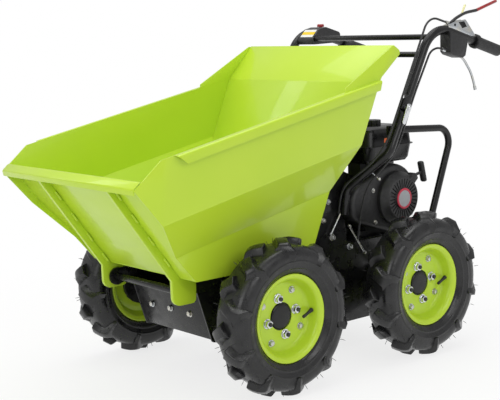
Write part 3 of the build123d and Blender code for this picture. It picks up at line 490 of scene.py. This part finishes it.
# ---- stage -------------------------------------------------------------------------------
CAMERA_PLACE = (2178.5, 2472.0, 934.0)
CAMERA_AZIMUTH = 139.67
CAMERA_ELEVATION = 8.47
CAMERA_ROLL = -1.68
CAMERA_LENS = 84.62
FLOOR_SPAN = 30000.0
FLOOR_FADE = (750.0, 1700.0)   # distances from the middle between which the floor turns white
FLOOR_WHITE = (0.78, 1.0)      # share of white at those distances
WORLD_LIGHT = 0.55
DIRECT_RAYS = ("Is Camera Ray", "Is Transmission Ray")
SHOWN_RAYS = ("Is Camera Ray", "Is Glossy Ray", "Is Transmission Ray")
LAMPS = (                     # name, place, aimed at, width, height, watts
    ("front_softbox", (3600.0, 900.0, 2300.0), (200.0, 0.0, 400.0), 2600.0, 2200.0, 33.0),
    ("side_softbox", (300.0, 4200.0, 2600.0), (0.0, 0.0, 400.0), 3000.0, 2000.0, 40.0),
    ("top_softbox", (-200.0, -300.0, 3900.0), (0.0, 0.0, 300.0), 3200.0, 3200.0, 74.0),
    ("far_strip", (1500.0, -2500.0, 2600.0), (-120.0, 0.0, 840.0), 420.0, 2200.0, 11.0),
)


class DUMPER_OT_stage(bpy.types.Operator):
    """Add the floor, the backdrop light, the lamps and the camera"""
    bl_idname = "dumper.stage"
    bl_label = "Stage"
    bl_options = {"REGISTER", "UNDO"}

    def execute(self, context):
        scene = context.scene
        scene.view_settings.view_transform = "Standard"
        self.camera(scene)
        self.floor()
        self.world(scene)
        for name, place, target, width, height, watts in LAMPS:
            lamp = bpy.data.lights.new(name, "AREA")
            lamp.shape = "RECTANGLE"
            lamp.size, lamp.size_y = width * MM, height * MM
            lamp.energy = watts
            stand = bpy.data.objects.new(name, lamp)
            scene.collection.objects.link(stand)
            stand.location = Vector(place) * MM
            stand.rotation_euler = (Vector(target) - Vector(place)).to_track_quat("-Z", "Y").to_euler()
        return {"FINISHED"}

    def camera(self, scene):
        """Camera at the solved place, turned by azimuth, elevation and roll."""
        azimuth, elevation, roll = (math.radians(a) for a in (CAMERA_AZIMUTH, CAMERA_ELEVATION, CAMERA_ROLL))
        back = Vector((math.sin(azimuth) * math.cos(elevation), -math.cos(azimuth) * math.cos(elevation),
                       math.sin(elevation)))
        level = Vector((math.cos(azimuth), math.sin(azimuth), 0))
        turn = Matrix((level, back.cross(level), back)).transposed() @ Matrix.Rotation(roll, 3, "Z")
        data = bpy.data.cameras.new("camera")
        data.lens = CAMERA_LENS
        data.clip_end = 100.0
        camera = bpy.data.objects.new("camera", data)
        scene.collection.objects.link(camera)
        camera.matrix_world = Matrix.Translation(Vector(CAMERA_PLACE) * MM) @ turn.to_4x4()
        scene.camera = camera

    def share_of(self, tree, kinds):
        """1 for the given kinds of ray, else 0."""
        path = add_node(tree, "LightPath").outputs
        share = path[kinds[0]]
        for kind in kinds[1:]:
            share = add_node(tree, "Math", {0: share, 1: path[kind]}, operation="MAXIMUM").outputs[0]
        return share

    def floor(self):
        """Pale matt floor that keeps the shadow near the machine and turns white further out."""
        bpy.ops.object.select_all(action="DESELECT")
        bpy.ops.mesh.primitive_plane_add(size=FLOOR_SPAN * MM, location=(0, 0, 0))
        obj = bpy.context.object
        obj.name = "floor"
        made = new_material("studio_floor", 0.9, specular=0.1)
        tree = made.node_tree
        shader = tree.nodes["Principled BSDF"]
        shader.inputs["Base Color"].default_value = (*linear("#F4F4F4"), 1)
        place = add_node(tree, "TexCoord").outputs["Object"]
        distance = add_node(tree, "VectorMath", {0: place}, operation="LENGTH").outputs["Value"]
        near, far = FLOOR_FADE
        fade = add_node(tree, "MapRange", {"Value": distance, "From Min": near * MM, "From Max": far * MM,
                                           "To Min": FLOOR_WHITE[0], "To Max": FLOOR_WHITE[1]},
                        interpolation_type="SMOOTHSTEP")
        share = add_node(tree, "Math", {0: fade.outputs["Result"], 1: self.share_of(tree, SHOWN_RAYS)},
                         operation="MULTIPLY")
        white = add_node(tree, "Emission", {"Color": (1, 1, 1, 1), "Strength": 1.0})
        mixed = add_node(tree, "MixShader", {0: share.outputs[0], 1: shader.outputs[0], 2: white.outputs[0]})
        tree.links.new(mixed.outputs[0], tree.nodes["Material Output"].inputs["Surface"])
        obj.data.materials.append(made)

    def world(self, scene):
        """White to the eye, a softer grey as light and in reflections."""
        world = bpy.data.worlds.new("studio")
        world.use_nodes = True
        tree = world.node_tree
        light = tree.nodes["Background"]
        light.inputs["Color"].default_value = (1, 1, 1, 1)
        light.inputs["Strength"].default_value = WORLD_LIGHT
        white = add_node(tree, "Background", {"Color": (1, 1, 1, 1), "Strength": 1.0})
        mixed = add_node(tree, "MixShader", {0: self.share_of(tree, DIRECT_RAYS), 1: light.outputs[0],
                                             2: white.outputs[0]})
        tree.links.new(mixed.outputs[0], tree.nodes["World Output"].inputs["Surface"])
        scene.world = world


# ---- wheels ------------------------------------------------------------------------------
# outer half of the tyre's section, from the bead out: offset along the axle, radius
TYRE_SECTION = (
    (29.2, 101.9), (29.6, 108.0), (30.0, 113.6), (31.5, 115.4), (34.6, 116.6), (38.0, 120.5), (41.6, 126.0),
    (43.6, 129.6), (45.0, 130.2), (45.4, 131.4), (45.0, 132.6), (47.0, 137.5), (48.9, 143.0), (49.6, 146.2),
    (50.6, 146.8), (50.9, 148.2), (50.3, 149.2), (50.8, 154.0), (50.6, 160.0), (49.4, 167.0), (46.8, 174.0),
    (42.4, 180.0), (36.0, 184.0), (26.0, 186.2), (13.0, 187.2), (0.0, 187.6),
)
# side view of one lug, along its sweep and up: length, radius
LUG_OUTLINE = (
    (-4.7, 178.0), (-4.7, 203.0), (10.0, 203.0), (24.0, 201.7), (36.0, 198.2), (44.0, 193.8), (48.2, 187.0),
    (50.4, 172.0), (52.2, 157.0), (50.6, 149.5), (43.0, 150.0), (36.0, 165.0),
)
LUG_WIDTH = 27.0
LUG_ROOT_R = 180.0             # corners under this radius are spread
LUG_ROOT_SPREAD = 2.1
LUG_SWEEP = 32.0
WHISKER = ((0.0, 0.8), (8.0, 0.6), (11.4, 0.4), (11.6, 0.0))        # height, radius
WHISKER_RINGS = (              # offset, radius, lean outward in degrees
    (-49.0, 177.5, 35.0), (-30.0, 187.0, 0.0), (30.0, 187.0, 0.0), (49.0, 177.5, 35.0),
)
WHISKERS_PER_RING = 20
# rim section: offset, radius, from the lip down the barrel to the disc and back inside
RIM_SECTION = (
    (30.0, 103.0), (30.3, 110.0), (30.9, 113.0), (31.8, 114.1), (33.0, 114.2), (33.9, 113.4), (34.2, 111.8),
    (33.8, 109.6), (32.2, 105.6), (29.4, 101.6), (26.2, 99.0), (22.0, 97.0), (14.0, 94.6), (6.0, 92.4),
    (0.0, 89.6), (-3.0, 86.4), (-4.6, 82.0), (-5.0, 77.0), (-5.0, 37.0), (-5.6, 36.2),
    (-8.4, 36.2), (-9.0, 37.0), (-9.0, 79.0), (-8.4, 87.0), (-16.0, 93.6), (-28.6, 98.6), (-32.2, 102.6),
    (-33.9, 109.6), (-34.2, 111.8), (-33.9, 113.4), (-33.0, 114.2), (-31.8, 114.1), (-30.9, 113.0),
    (-30.0, 103.0), (-29.4, 101.7), (-24.0, 101.4), (24.0, 101.4), (29.4, 101.7), (30.0, 103.0),
)
# hub section: offset, radius, from the cap over the flange and down the shaft
HUB_SECTION = (
    (-1.4, 0.0), (-1.5, 12.0), (-2.0, 22.0), (-2.6, 28.0), (-3.4, 31.4), (-4.8, 33.0), (-8.8, 33.6),
    (-9.2, 62.0), (-10.2, 63.0), (-17.0, 63.0), (-18.0, 62.0), (-18.0, 31.0), (-29.0, 30.0), (-51.0, 30.0),
    (-52.0, 29.0), (-52.0, 15.0), (-130.0, 15.0), (-130.0, 0.0),
)
DISC_FACE = -5.0
VALVE_SECTION = (
    (0.0, 0.0), (0.0, 5.6), (6.0, 5.2), (16.0, 3.9), (26.0, 3.7), (26.4, 4.3), (33.0, 4.3), (34.2, 3.4),
    (34.2, 0.0),
)
VALVE_FOOT = (-91.0, 12.0, 4.0)       # from the wheel's centre, on the barrel behind the axle
VALVE_RUN = (0.90, -0.02, -0.43)
WHEEL_NUT = (19.0, 10.0, 5.0, 5.6)    # across flats, height, stud standing out, stud radius
RIM_BOLT = (13.0, 6.0, 0.6, 2.4)
WHEEL_NUTS = (49.0, 13.0)             # their circle's radius, and where the first one stands in degrees
RIM_BOLTS = (73.0, 60.0)
NUTS_PER_CIRCLE = 4


class DUMPER_OT_tyres(bpy.types.Operator):
    """Add the four lugged tyres"""
    bl_idname = "dumper.tyres"
    bl_label = "Tyres"
    bl_options = {"REGISTER", "UNDO"}

    def execute(self, context):
        sizes = context.scene.dumper_sizes
        section = list(TYRE_SECTION) + [(-y, r) for y, r in reversed(TYRE_SECTION[:-1])] + [TYRE_SECTION[0]]
        carcass = smooth(turned(section, steps=96), 50)
        lug = cut_plate(LUG_OUTLINE, LUG_WIDTH)
        for corner in lug.data.vertices:        # flanks spread towards the carcass
            if corner.co.z < LUG_ROOT_R * MM:
                corner.co.y *= LUG_ROOT_SPREAD
        lug = round_edges(lug, sizes.lug_edge / MM, 3, 40)
        # the outline's length runs along +X: turn it to the axle, then sweep it
        lug.data.transform(Matrix.Rotation(math.radians(90 - LUG_SWEEP), 4, "Z"))
        whisker = turned(WHISKER, steps=5)
        pieces = [carcass]
        pitch = 360.0 / sizes.lugs_per_side
        for number in range(sizes.lugs_per_side):
            for start, mirror in ((0.0, 1), (0.5, -1)):
                spin = Matrix.Rotation(math.radians((number + start) * pitch), 4, "Y")
                pieces.append(copied(lug, spin @ Matrix.Scale(mirror, 4, AXIS_Y)))
        for offset, radius, lean in WHISKER_RINGS:
            tilt = math.radians(lean)
            out = Vector((0, math.copysign(math.sin(tilt), offset), math.cos(tilt)))
            stand = facing((0, offset, radius), out)
            for number in range(WHISKERS_PER_RING):
                around = math.radians((number + 0.5 * (offset > 0)) * 360.0 / WHISKERS_PER_RING)
                pieces.append(copied(whisker, Matrix.Rotation(around, 4, "Y") @ stand))
        discard(lug)
        discard(whisker)
        pattern = joined(pieces)
        for wheel, sign in WHEELS:
            node = f"tyre_{wheel}"
            settle(copied(pattern, wheel_matrix(wheel, sign)), f"{node}_skin", "cured_rubber", BODY_OF[node],
                   (node,))
        discard(pattern)
        return {"FINISHED"}


class DUMPER_OT_rims(bpy.types.Operator):
    """Add the four pressed rims with their valves"""
    bl_idname = "dumper.rims"
    bl_label = "Rims"
    bl_options = {"REGISTER", "UNDO"}

    def execute(self, context):
        rim = smooth(turned(RIM_SECTION, steps=96), 40)
        valve = smooth(turned(VALVE_SECTION, steps=20), 40)
        for wheel, sign in WHEELS:
            node = f"rim_{wheel}"
            body = BODY_OF[node]
            place = wheel_matrix(wheel, sign)
            settle(copied(rim, place), f"{node}_skin", "green_enamel", body, (node,))
            stem = copied(valve, place @ facing(VALVE_FOOT, VALVE_RUN))
            settle(stem, f"valve_{wheel}", "dipped_rubber", body)
        discard(rim)
        discard(valve)
        return {"FINISHED"}


WASHER_T = 1.6
NUT_CHAMFER = 1.1
STUD_CHAMFER = (1.6, 1.4)             # along the stud and off its radius


def hex_nut(across_flats, height, stud_out, stud_radius):
    """A chamfered nut on its washer, with the stud's end standing through it; its seat is at Y = 0."""
    bpy.ops.object.select_all(action="DESELECT")
    corner = across_flats / 2 / math.cos(math.radians(30))
    bpy.ops.mesh.primitive_cylinder_add(vertices=6, radius=corner * MM, depth=height * MM, location=(0, 0, 0))
    nut = bpy.context.object
    nut.data.transform(Matrix.Rotation(math.radians(-90), 4, "X"))
    round_edges(moved(nut, height / 2 + WASHER_T), NUT_CHAMFER)
    washer = turned([(0.0, 0.0), (0.0, corner + 1.6), (0.4, corner + 2.0), (WASHER_T - 0.3, corner + 2.0),
                     (WASHER_T, corner + 1.6), (WASHER_T, 0.0)], steps=24)
    shoulder = height + stud_out
    tip = shoulder + STUD_CHAMFER[0]
    stud = turned([(height, 0.0), (height, stud_radius), (shoulder, stud_radius),
                   (tip, stud_radius - STUD_CHAMFER[1]), (tip, 0.0)], steps=16)
    return nut, smooth(washer, 30), smooth(stud, 30)


class DUMPER_OT_hubs(bpy.types.Operator):
    """Add the hubs, their nuts and the bolts that hold the rim halves"""
    bl_idname = "dumper.hubs"
    bl_label = "Hubs"
    bl_options = {"REGISTER", "UNDO"}

    def execute(self, context):
        hub = smooth(turned(HUB_SECTION, steps=64), 35)
        nut, washer, stud = hex_nut(*WHEEL_NUT)
        nuts = joined([nut, washer])
        bolt = joined(list(hex_nut(*RIM_BOLT)))
        for wheel, sign in WHEELS:
            node = f"hub_{wheel}"
            body = BODY_OF[node]
            place = wheel_matrix(wheel, sign)
            settle(copied(hub, place), f"{node}_skin", "black_enamel", body, (node,))
            for pattern, (circle, start), name, finish in (
                    (nuts, WHEEL_NUTS, "wheel_nuts", "chrome_plate"),
                    (stud, WHEEL_NUTS, "wheel_studs", "moulded_nylon"),
                    (bolt, RIM_BOLTS, "rim_bolts", "zinc_plate")):
                seated = facing((0, DISC_FACE, circle), AXIS_Y)
                ring = []
                for number in range(NUTS_PER_CIRCLE):
                    turn = math.radians(start + number * 360.0 / NUTS_PER_CIRCLE)
                    ring.append(copied(pattern, place @ Matrix.Rotation(turn, 4, "Y") @ seated))
                settle(joined(ring), f"{name}_{wheel}", finish, body)
        for pattern in (hub, nuts, stud, bolt):
            discard(pattern)
        return {"FINISHED"}


# ---- carried-over forms ------------------------------------------------------------------
SHAFT_EDGE = 0.9
FINE_EDGE = 0.8                # tubes, grips, starter and fuel cap
CONTROL_EDGE = 0.7
BRACKET_EDGE = 0.6
BAR_EDGE = 0.5


class DUMPER_OT_skip(bpy.types.Operator):
    """Add the skip's folded sheets and its ears"""
    bl_idname = "dumper.skip"
    bl_label = "Skip"
    bl_options = {"REGISTER", "UNDO"}

    def execute(self, context):
        sizes = context.scene.dumper_sizes
        for node, slot in SLOT_OF.items():
            if slot == "green_paint" and node.startswith("skip_"):
                dressed(node, sizes.sheet_edge / MM)
        return {"FINISHED"}


class DUMPER_OT_chassis(bpy.types.Operator):
    """Add the chassis plates, the axle tubes, the gearbox and the tip shaft"""
    bl_idname = "dumper.chassis"
    bl_label = "Chassis"
    bl_options = {"REGISTER", "UNDO"}

    def execute(self, context):
        sizes = context.scene.dumper_sizes
        for node in ("side_plate_left", "side_plate_right", "front_plate", "belly_plate", "skip_rest",
                     "tower_plate", "engine_deck", "axle_tube_front", "axle_tube_rear"):
            dressed(node, sizes.sheet_edge / MM)
        dressed("skip_tip_shaft", SHAFT_EDGE, finish="black_enamel")
        dressed("gearbox", sizes.cast_edge / MM)
        return {"FINISHED"}


class DUMPER_OT_engine(bpy.types.Operator):
    """Add the open engine: block, fan housing, starter, tank, exhaust guard and air cleaner"""
    bl_idname = "dumper.engine"
    bl_label = "Engine"
    bl_options = {"REGISTER", "UNDO"}

    def execute(self, context):
        sizes = context.scene.dumper_sizes
        for node in ("engine_block", "fan_housing", "recoil_starter", "starter_grip", "fuel_tank", "fuel_cap",
                     "muffler_guard", "air_cleaner", "belt_cover"):
            dressed(node, FINE_EDGE if node in ("recoil_starter", "fuel_cap") else sizes.cast_edge / MM)
        return {"FINISHED"}


class DUMPER_OT_handles(bpy.types.Operator):
    """Add the handle tubes, crossbars, engine guards and grips"""
    bl_idname = "dumper.handles"
    bl_label = "Handles"
    bl_options = {"REGISTER", "UNDO"}

    def execute(self, context):
        for part in ("handle_upper", "handle_lower", "engine_guard", "grip"):
            for side, _ in SIDES:
                dressed(f"{part}_{side}", FINE_EDGE)
        for name in ("upper", "lower"):
            dressed(f"crossbar_{name}", BAR_EDGE)
        return {"FINISHED"}


BRACKET_HOLE = (-468.0, 917.0, 4.2)    # x, z, radius
BRACKET_WINDOW = ((-483.0, 925.0), (-509.0, 926.5), (-521.0, 911.0), (-500.0, 907.0))
LEVER_BLADE_AND_SHADE = (                # the lever's blade between the bracket's cheeks, its black also the painted shade in the bracket's window: x, z
    (-460.0, 918.0), (-472.0, 925.0), (-513.0, 929.0), (-536.0, 903.0), (-536.0, 896.0), (-460.0, 915.0),
)
LEVER_BLADE_AND_SHADE_T = 9.0
BRACKET_CUT = 40.0                     # wide enough to go through both cheeks


class DUMPER_OT_controls(bpy.types.Operator):
    """Add the hand levers, the throttle box, the console and the control cables"""
    bl_idname = "dumper.controls"
    bl_label = "Controls"
    bl_options = {"REGISTER", "UNDO"}

    def execute(self, context):
        for node in ("lever_sleeve", "hand_lever", "throttle_box", "park_lever", "console",
                     "console_knob", "shift_lever", "cable_clutch", "cable_throttle"):
            dressed(node, CONTROL_EDGE)
        bracket = dressed("lever_bracket", BRACKET_EDGE)
        x, z, radius = BRACKET_HOLE
        turns = [math.radians(angle) for angle in range(0, 360, 20)]
        hole = [(x + radius * math.cos(turn), z + radius * math.sin(turn)) for turn in turns]
        for outline in (hole, BRACKET_WINDOW):
            cutter = moved(cut_plate(outline, BRACKET_CUT), HANDLE_Y)
            only(bracket)
            cut = bracket.modifiers.new("window", "BOOLEAN")
            cut.object = cutter
            cut.solver = "EXACT"
            bpy.ops.object.modifier_apply(modifier=cut.name)
            discard(cutter)
        # a black plate for the lever's blade, which also darkens the bracket's window as painted shade
        blade_and_shade = round_edges(moved(cut_plate(LEVER_BLADE_AND_SHADE, LEVER_BLADE_AND_SHADE_T), HANDLE_Y), BRACKET_EDGE)
        settle(blade_and_shade, "lever_blade_and_painted_shade", "black_enamel", "chassis")
        return {"FINISHED"}


# ---- small trim --------------------------------------------------------------------------
RIB_FOOT = (456.0, 311.2)              # where the chute's outer face starts: x, z
RIB_HEAD = (640.0, 559.6)
RIB_FACES = (149.6, 160.4)             # inner and outer face of a rib
STITCH_PITCH = 76.0
STITCH_LENGTH = 30.0
STITCH_START = 6.0                     # up the rib from its foot


class DUMPER_OT_welds(bpy.types.Operator):
    """Add the stitch welds along the skip's ribs"""
    bl_idname = "dumper.welds"
    bl_label = "Welds"
    bl_options = {"REGISTER", "UNDO"}

    def execute(self, context):
        sizes = context.scene.dumper_sizes
        radius = sizes.weld_bead / MM
        foot, head = (Vector((x, 0, z)) for x, z in (RIB_FOOT, RIB_HEAD))
        run = (head - foot).normalized()
        beads = []
        for number, face in enumerate(RIB_FACES):
            along = STITCH_START + number * STITCH_PITCH / 2
            while along + STITCH_LENGTH < (head - foot).length:
                start = foot + run * along
                end = start + run * STITCH_LENGTH
                for _, sign in SIDES:
                    across = Vector((0, sign * face, 0))
                    beads.append(weld_bead(start + across, end + across, radius))
                along += STITCH_PITCH
        settle(joined(beads), "rib_welds", "green_enamel", "skip")
        return {"FINISHED"}


HEADS = {                     # across flats, height, stud standing out, stud radius
    "M8": (13.0, 6.5, 1.6, 3.6),
    "M6": (10.0, 5.0, 1.0, 2.7),
    "M5": (8.0, 4.0, 0.6, 2.2),
}
FASTENERS = (                 # node, x, y, z, outward, head, on both sides
    ("side_plate", -93.0, 0.0, 338.6, AXIS_Y, "M8", True),
    ("side_plate", -161.0, 0.0, 302.5, AXIS_Y, "M8", True),
    ("side_plate", -80.0, 0.0, 440.0, AXIS_Y, "M6", True),
    ("side_plate", -40.0, 0.0, 470.0, AXIS_Y, "M6", True),
    ("side_plate", -60.0, 0.0, 390.0, AXIS_Y, "M6", True),
    ("side_plate", 60.0, 0.0, 240.0, AXIS_Y, "M8", True),
    ("side_plate", -340.0, 0.0, 250.0, AXIS_Y, "M8", True),
    ("engine_guard", -232.0, 243.0, 632.5, -AXIS_Y, "M6", True),
    ("fan_housing", -229.0, 0.0, 458.0, AXIS_Y, "M5", False),
    ("fan_housing", -236.0, 0.0, 366.0, AXIS_Y, "M5", False),
    ("fan_housing", -391.0, 0.0, 374.0, AXIS_Y, "M5", False),
    ("front_plate", 0.0, 3.0, 196.0, AXIS_X, "M8", False),
    ("front_plate", 0.0, 86.0, 194.0, AXIS_X, "M8", False),
    ("front_plate", 0.0, -80.0, 194.0, AXIS_X, "M8", False),
)
LINKAGE = (                   # name, the rod's ends, its radius
    ("choke_link", ((-194.0, 200.0, 519.6), (-230.0, 200.0, 493.0)), 1.6),
    ("clutch_link", ((-124.6, 154.0, 409.4), (-82.6, 154.0, 350.1)), 2.6),
    ("drive_link", ((-155.0, 154.0, 363.0), (-214.5, 154.0, 278.6)), 2.6),
)
LINK_EYE = ((-4.0, 0.0), (-4.0, 3.4), (-3.2, 4.6), (3.2, 4.6), (4.0, 3.4), (4.0, 0.0))
LEVER_PIVOT = (-262.5, HANDLE_Y, 696.5)        # of the clamp lever at the handle's joint, whose bright chrome is partly a painted highlight
LEVER_LEAN = -27.5
LEVER_T = 4.6
LEVER_PROUD = 10.0
LEVER_HEAD_R = 10.0
LEVER_TAIL = [(7.0, -46.0), (4.5, -51.0), (-4.5, -51.0), (-7.0, -46.0)]
LEVER_BOSS = ((-0.5, 0.0), (-0.5, 8.5), (7.8, 8.5), (7.8, 0.0))
LEVER_CAP = ((12.0, 0.0), (12.0, 7.0), (14.6, 6.6), (16.0, 5.0), (16.6, 0.0))


class DUMPER_OT_fasteners(bpy.types.Operator):
    """Add the bolts, the clamp levers of the handle joints with their painted highlight, and the linkage rods
    """
    bl_idname = "dumper.fasteners"
    bl_label = "Fasteners"
    bl_options = {"REGISTER", "UNDO"}

    def execute(self, context):
        patterns = {head: joined(list(hex_nut(*measures))) for head, measures in HEADS.items()}
        groups = {}
        for node, x, y, z, outward, head, both in FASTENERS:
            for side, sign in SIDES[:2 if both else 1]:
                name = f"{node}_{side}" if both else node
                mirror = Vector((1, sign, 1))
                place = seat(name, Vector((x, y, z)) * mirror, outward * mirror)
                groups.setdefault(name, []).append(copied(patterns[head], facing(place, outward * mirror)))
        for name, bolts in groups.items():
            settle(joined(bolts), f"{name}_bolts", "zinc_plate", BODY_OF[name])
        for pattern in patterns.values():
            discard(pattern)
        self.clamp_levers_and_highlights()
        self.linkage()
        return {"FINISHED"}

    def clamp_levers_and_highlights(self):
        """The clamp lever that lies down the tube from each handle joint, on its boss and nut; its bright
        chrome also stands in for the highlight on the tube's flattened joint, a painted highlight.
        """
        turns = [math.radians(angle) for angle in range(-75, 76, 25)]
        top = [(LEVER_HEAD_R * math.sin(turn), LEVER_HEAD_R * math.cos(turn)) for turn in turns]
        lever = round_edges(cut_plate(top + LEVER_TAIL, LEVER_T), 1.2, 3)
        boss = smooth(turned(LEVER_BOSS, 24))
        cap = smooth(turned(LEVER_CAP, 24))
        clamp = joined([moved(lever, LEVER_PROUD), boss, cap])
        lean = Matrix.Rotation(math.radians(LEVER_LEAN), 4, "Y")
        for side, sign in SIDES:
            tube = f"handle_upper_{side}"
            place = seat(tube, Vector(LEVER_PIVOT) * Vector((1, sign, 1)), AXIS_Y * sign)
            there = Matrix.Translation(place * MM) @ Matrix.Scale(sign, 4, AXIS_Y) @ lean
            # the chrome here also stands in for the highlight on the flattened tube: a painted highlight
            settle(copied(clamp, there), f"clamp_lever_and_painted_highlight_{side}", "chrome_plate", BODY_OF[tube])
        discard(clamp)

    def linkage(self):
        """Rods with an eye at each end."""
        eye = smooth(turned(LINK_EYE, 20))
        for name, ends, radius in LINKAGE:
            pieces = [rod(*ends, radius)]
            pieces += [copied(eye, Matrix.Translation(Vector(end) * MM)) for end in ends]
            settle(joined(pieces), name, "zinc_plate", BODY_OF["side_plate_left"])
        discard(eye)


BADGE_SEAT = (-322.0, 210.0, 428.0)
BADGE_RIM = ((-0.6, 23.6), (1.6, 23.6), (2.0, 24.4), (2.0, 28.6), (1.3, 30.0), (-0.6, 30.0), (-0.6, 23.6))
BADGE_FIELD = ((-0.6, 0.0), (1.3, 0.0), (1.4, 23.8), (-0.6, 23.8), (-0.6, 0.0))
CONSOLE_FOOT = Vector((-352.0, 0, 884.0))     # foot of the console's sloping face
CONSOLE_LABELS = (            # name, finish, from and to up the slope
    ("console_label_lower", "white_film", 10.0, 19.5),
    ("console_label_middle", "yellow_film", 19.8, 31.5),
    ("console_label_top", "white_film", 31.8, 41.0),
)
LABEL_WIDTH = 54.0
LABEL_INSET = 34.0            # from the console's inner side to the labels' middle
TANK_SEAT = (-268.0, 120.0, 600.0)
TANK_MARK = ((-256.0, 594.0), (-259.0, 606.0), (-274.0, 606.0), (-272.0, 594.0))
LEVER_TAB = ((-513.0, 950.0), (-509.0, 951.0), (-522.5, 975.0), (-527.0, 972.5))
FERRULES = (                  # start, end, radius
    ((-436.0, HANDLE_Y, 846.0), (-423.0, HANDLE_Y, 850.0), 4.6),
    ((-451.0, HANDLE_Y, 923.4), (-439.0, HANDLE_Y, 926.6), 4.4),
    ((-498.0, HANDLE_Y, 831.0), (-507.0, HANDLE_Y, 825.0), 5.0),
    ((-567.2, HANDLE_Y, 737.0), (-570.0, HANDLE_Y, 727.5), 4.6),
)


class DUMPER_OT_trim(bpy.types.Operator):
    """Add the blank badge and labels, the lever's tab and the cables' ferrules"""
    bl_idname = "dumper.trim"
    bl_label = "Trim"
    bl_options = {"REGISTER", "UNDO"}

    def execute(self, context):
        self.badge()
        self.labels()
        self.ferrules()
        return {"FINISHED"}

    def badge(self):
        """A blank round badge on the starter: a rose rim round a silver field."""
        place = Matrix.Translation(seat("recoil_starter", BADGE_SEAT, AXIS_Y) * MM)
        for section, name, finish in ((BADGE_RIM, "badge_rim", "rose_film"),
                                      (BADGE_FIELD, "badge_field", "silver_film")):
            disc = smooth(turned(section, 64), 40)
            disc.data.transform(place)
            settle(disc, name, finish, BODY_OF["recoil_starter"])

    def labels(self):
        """Blank patches: three bands on the console's slope, a mark on the tank, the lever's tab."""
        up = Vector((-1, 0, 1)).normalized()
        out = Vector((1, 0, 1)).normalized()
        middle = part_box("console")[1].y / MM - LABEL_INSET
        for name, finish, start, end in CONSOLE_LABELS:
            corners = [CONSOLE_FOOT + up * along + out * proud
                       for along, proud in ((start, -0.3), (end, -0.3), (end, 0.5), (start, 0.5))]
            patch = cut_plate([(corner.x, corner.z) for corner in corners], LABEL_WIDTH)
            settle(moved(patch, middle), name, finish, BODY_OF["console"])
        mark = moved(cut_plate(TANK_MARK, 0.8), seat("fuel_tank", TANK_SEAT, AXIS_Y).y + 0.35)
        settle(mark, "tank_mark", "orange_film", BODY_OF["fuel_tank"])
        tab = moved(round_edges(cut_plate(LEVER_TAB, 5.0), 0.8), HANDLE_Y)
        settle(tab, "lever_tab", "ivory_film", BODY_OF["hand_lever"])

    def ferrules(self):
        """Bright sleeves on the cables' ends and on the tip of the hand lever."""
        sleeves = [rod(start, end, radius, 20) for start, end, radius in FERRULES]
        settle(joined(sleeves), "ferrules", "zinc_plate", BODY_OF["throttle_box"])


STEPS = (
    DUMPER_OT_stage, DUMPER_OT_skip, DUMPER_OT_chassis, DUMPER_OT_tyres, DUMPER_OT_rims, DUMPER_OT_hubs,
    DUMPER_OT_engine, DUMPER_OT_handles, DUMPER_OT_controls, DUMPER_OT_welds, DUMPER_OT_fasteners,
    DUMPER_OT_trim,
)


class DUMPER_PT_sidebar(bpy.types.Panel):
    """Lists the dumper's settings and steps"""
    bl_idname = "DUMPER_PT_sidebar"
    bl_label = "Site dumper"
    bl_space_type = "VIEW_3D"
    bl_region_type = "UI"
    bl_category = "Dumper"

    def draw(self, context):
        for settings in (context.scene.dumper_finish, context.scene.dumper_sizes):
            for name in settings.__annotations__:
                self.layout.prop(settings, name)
        for step in STEPS:
            self.layout.operator(step.bl_idname)


CLASSES = (DumperFinish, DumperSizes, *STEPS, DUMPER_PT_sidebar)


def register():
    for cls in CLASSES:
        bpy.utils.register_class(cls)
    bpy.types.Scene.dumper_finish = PointerProperty(type=DumperFinish)
    bpy.types.Scene.dumper_sizes = PointerProperty(type=DumperSizes)


def unregister():
    del bpy.types.Scene.dumper_sizes
    del bpy.types.Scene.dumper_finish
    for cls in reversed(CLASSES):
        bpy.utils.unregister_class(cls)


def main():
    """Runs the steps in order."""
    register()
    for step in STEPS:
        group, name = step.bl_idname.split(".")
        getattr(getattr(bpy.ops, group), name)()


if __name__ == "__main__":
    main()
